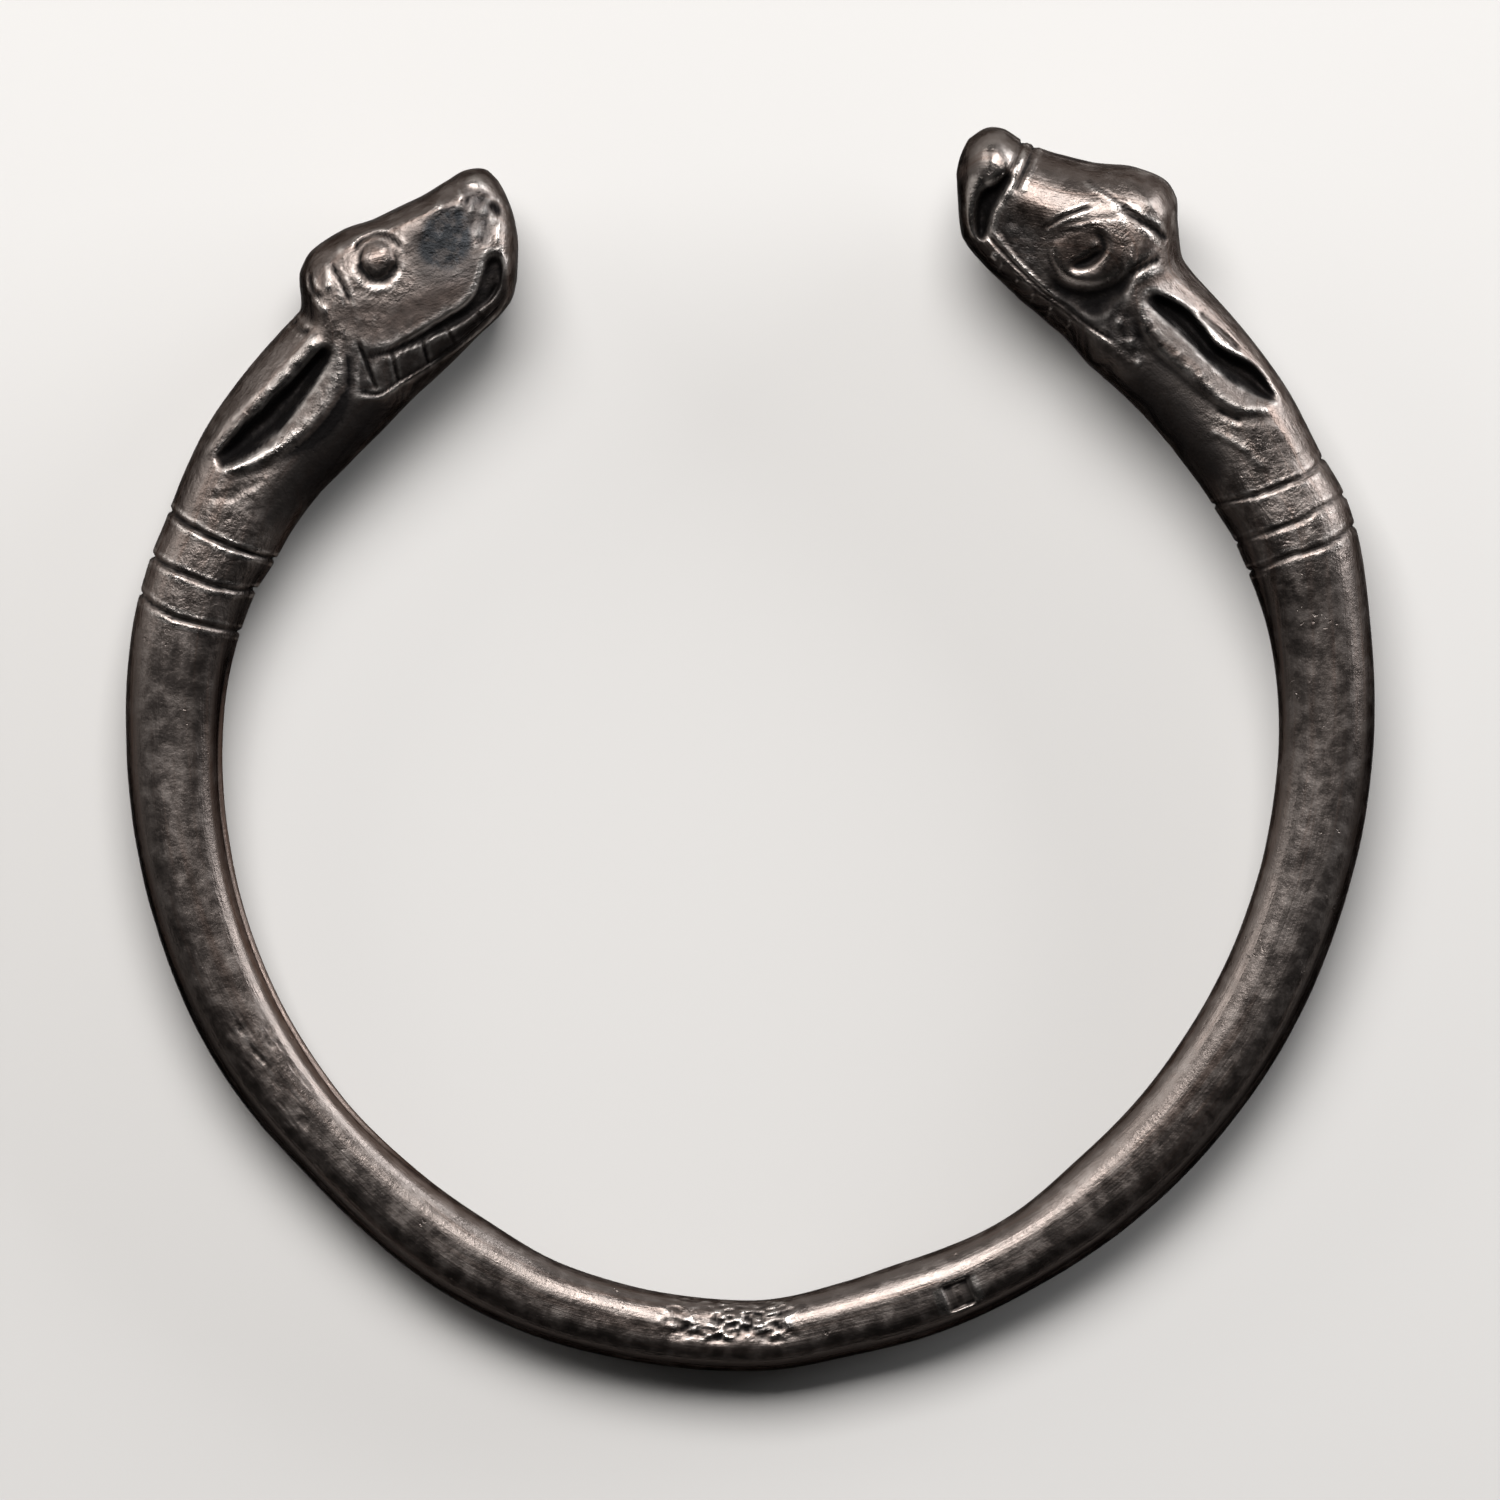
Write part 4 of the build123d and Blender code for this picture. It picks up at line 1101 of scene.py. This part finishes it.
def silver_grain(n, place, lie, pits):
    """The bumps of the cast, scratched and pitted surface."""
    grain = n.noise(place, 4800, 3, 0.65)
    coarse = n.noise(place, 1700, 2, 0.5)
    scratches = n.noise(n.stretched(lie, (900, 9000, 1)), 1.0, 2, 0.5)
    long_scratches = n.noise(n.stretched(lie, (250, 6000, 1)), 1.0, 2, 0.5)
    coarser = n.times(n.mask("oxide"), 0.9, clamp=False)
    height = n.times(grain, n.plus(coarser, 0.7, clamp=False), clamp=False)
    height = n.plus(height, n.times(coarse, 0.7, clamp=False), clamp=False)
    height = n.plus(height, n.times(scratches, 0.22), clamp=False)
    height = n.times(height, n.between(n.mask("smooth"), 0.0, 1.0, 1.0, 0.45), clamp=False)
    height = n.plus(height, n.times(long_scratches, 0.25), clamp=False)
    height = n.minus(height, n.times(pits, 0.6, clamp=False), clamp=False)
    return n.add("ShaderNodeBump", {"Height": height, "Strength": 1.0, "Distance": 0.06 * MM}).outputs[0]


def silver_material(finish):
    """Tarnished silver, rubbed bright on its ridges and black in its cuts."""
    material = bpy.data.materials.new("tarnished_silver")
    n = Nodes(material)
    place = n.add("ShaderNodeTexCoord").outputs["Object"]
    lie = n.add("ShaderNodeAttribute", attribute_name="lie").outputs["Vector"]
    names = ("silver", "tarnish", "brown", "grime", "oxide")
    colour = {name: (*getattr(finish, name), 1) for name in names}

    clouds = n.noise(n.stretched(lie, (60, 260, 1)), 1.0, 3, 0.5)
    mottle = n.noise(place, 900, 3, 0.6)
    streaks = n.noise(n.stretched(lie, (60, 1400, 1)), 1.0, 3, 0.6)
    speckle = n.noise(place, 1500, 2, 0.6)
    pitted = n.between(n.noise(place, 320, 2), 0.56, 0.74)
    pits = n.times(n.between(n.noise(place, 2300, 2, 0.5), 0.64, 0.70), pitted)
    worn = n.mask("worn")

    # Brighter in thin clouds, where it is rubbed, and on the painted highlights of the snout, the right
    # front lip and the bulb
    shine = n.times(n.between(clouds, 0.36, 0.72), 0.06)
    shine = n.plus(shine, n.times(n.between(mottle, 0.45, 0.8), 0.10))
    shine = n.plus(shine, n.times(worn, 0.45))
    base = n.mix(shine, colour["tarnish"], colour["silver"])

    # Brown in streaks and blue-grey in speckled patches
    warm = n.times(n.between(streaks, 0.5, 0.72), 0.55)
    warm = n.plus(warm, n.times(n.mask("brown"), 0.6))
    base = n.mix(warm, base, colour["brown"])
    blue = n.times(n.mask("oxide"), n.between(speckle, 0.48, 0.62, 1.0, 0.6))
    base = n.mix(blue, base, colour["oxide"])

    # Black grime in the cuts and pits, with painted shade on the ears, the necks and below the right eye,
    # and painted shade on the flanks away from the light
    dirt_and_shade = n.times(n.mask("grime"), n.between(mottle, 0.2, 0.6, 0.85, 1.0))
    dirt_and_shade = n.plus(dirt_and_shade, n.times(pits, 0.22))
    base = n.mix(dirt_and_shade, base, colour["grime"])
    shade = n.times(n.mask("flank"), n.between(streaks, 0.3, 0.7, 0.95, 0.70))
    base = n.mix(shade, base, colour["grime"])

    rough = n.plus(n.between(mottle, 0.3, 0.7, -0.07, 0.09), finish.roughness)
    rough = n.plus(rough, n.times(dirt_and_shade, 0.35))
    rough = n.minus(rough, n.times(worn, 0.08))
    shader = n.add("ShaderNodeBsdfPrincipled", {
        "Base Color": base, "Metallic": 1.0, "Roughness": rough,
        "Normal": silver_grain(n, place, lie, pits), "Specular Tint": (0.15, 0.15, 0.15, 1)})
    n.add("ShaderNodeOutputMaterial", {"Surface": shader.outputs[0]})
    return material


class BANGLE_OT_build_bracelet(bpy.types.Operator):
    """Builds the whole silver casting"""

    bl_idname = "bangle.build_bracelet"
    bl_label = "Build Bracelet"

    def execute(self, context):
        mesh = bangle_mesh(context.scene.bangle_sizes)
        mesh.materials.append(silver_material(context.scene.silver_finish))
        piece = bpy.data.objects.new("bracelet_silver", mesh)
        context.scene.collection.objects.link(piece)
        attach(piece, "root")
        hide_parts("bracelet")
        return {"FINISHED"}


def paper_material(colour):
    """The floor's matt paper with the slightest mottle."""
    material = bpy.data.materials.new("floor_paper")
    n = Nodes(material)
    place = n.add("ShaderNodeTexCoord").outputs["Object"]
    cloud = n.noise(place, 9, 3)
    base = n.mix(cloud, (*[c * 0.985 for c in colour], 1), (*colour, 1))
    shader = n.add("ShaderNodeBsdfPrincipled", {"Base Color": base, "Roughness": 0.9})
    n.add("ShaderNodeOutputMaterial", {"Surface": shader.outputs[0]})
    return material


def set_softbox(name, box, power, target):
    """Sets up a rectangular light that faces its target."""
    lamp = bpy.data.lights.new(name, "AREA")
    lamp.shape = "RECTANGLE"
    lamp.size = box.width
    lamp.size_y = box.height
    lamp.energy = power
    lamp.color = box.colour
    light = bpy.data.objects.new(name, lamp)
    light.location = box.place
    light.rotation_euler = (Vector(target) - Vector(box.place)).to_track_quat("-Z", "Y").to_euler()
    bpy.context.scene.collection.objects.link(light)


class BANGLE_OT_set_studio(bpy.types.Operator):
    """Lays the floor and sets the lights and the camera"""

    bl_idname = "bangle.set_studio"
    bl_label = "Set Studio"

    def execute(self, context):
        studio = context.scene.bangle_studio
        half = studio.floor_side / 2
        mesh = bpy.data.meshes.new("floor")
        mesh.from_pydata([(-half, -half, 0), (half, -half, 0), (half, half, 0), (-half, half, 0)], [],
                         [(0, 1, 2, 3)])
        mesh.materials.append(paper_material(studio.floor_colour))
        floor = bpy.data.objects.new("floor", mesh)
        context.scene.collection.objects.link(floor)

        low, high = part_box("bracelet")
        middle = (low + high) / 2
        for name, box in softboxes.items():
            set_softbox(name, box, getattr(studio, box.power), middle)
        world = bpy.data.worlds.new("room")
        n = Nodes(world)
        direction = n.add("ShaderNodeTexCoord").outputs["Generated"]
        ahead = n.add("ShaderNodeSeparateXYZ", {0: direction}).outputs["Y"]
        glow = n.between(ahead, -0.7, 0.8, 0.1 * studio.sky, studio.sky)
        background = n.add("ShaderNodeBackground", {"Strength": glow})
        n.add("ShaderNodeOutputWorld", {"Surface": background.outputs[0]})
        context.scene.world = world
        context.scene.view_settings.view_transform = "Standard"

        lens = bpy.data.cameras.new("camera")
        lens.sensor_width = 36.0
        reach = studio.camera_height - high.z
        view = (high.x - low.x) * studio.view_width
        lens.lens = lens.sensor_width * reach / view
        lens.clip_start = 0.01
        camera = bpy.data.objects.new("camera", lens)
        camera.location = (middle.x, middle.y, studio.camera_height)
        context.scene.collection.objects.link(camera)
        context.scene.camera = camera
        return {"FINISHED"}


class BANGLE_PT_panel(bpy.types.Panel):
    """Lists the bangle's settings and steps"""

    bl_idname = "BANGLE_PT_panel"
    bl_label = "Silver Bangle"
    bl_space_type = "VIEW_3D"
    bl_region_type = "UI"
    bl_category = "Silver Bangle"

    def draw(self, context):
        scene = context.scene
        for group in (scene.bangle_sizes, scene.silver_finish, scene.bangle_studio):
            box = self.layout.box()
            for name in group.__annotations__:
                box.prop(group, name)
        self.layout.operator(BANGLE_OT_build_bracelet.bl_idname)
        self.layout.operator(BANGLE_OT_set_studio.bl_idname)


classes = (
    BangleSizes,
    SilverFinish,
    Studio,
    BANGLE_OT_build_bracelet,
    BANGLE_OT_set_studio,
    BANGLE_PT_panel,
)


def register():
    """Adds the classes and the scene's settings."""
    for item in classes:
        bpy.utils.register_class(item)
    bpy.types.Scene.bangle_sizes = bpy.props.PointerProperty(type=BangleSizes)
    bpy.types.Scene.silver_finish = bpy.props.PointerProperty(type=SilverFinish)
    bpy.types.Scene.bangle_studio = bpy.props.PointerProperty(type=Studio)


def unregister():
    """Takes them away again."""
    del bpy.types.Scene.bangle_sizes
    del bpy.types.Scene.silver_finish
    del bpy.types.Scene.bangle_studio
    for item in reversed(classes):
        bpy.utils.unregister_class(item)


def main():
    """Builds the bangle and its studio."""
    register()
    bpy.ops.bangle.build_bracelet()
    bpy.ops.bangle.set_studio()


if __name__ == "__main__":
    main()
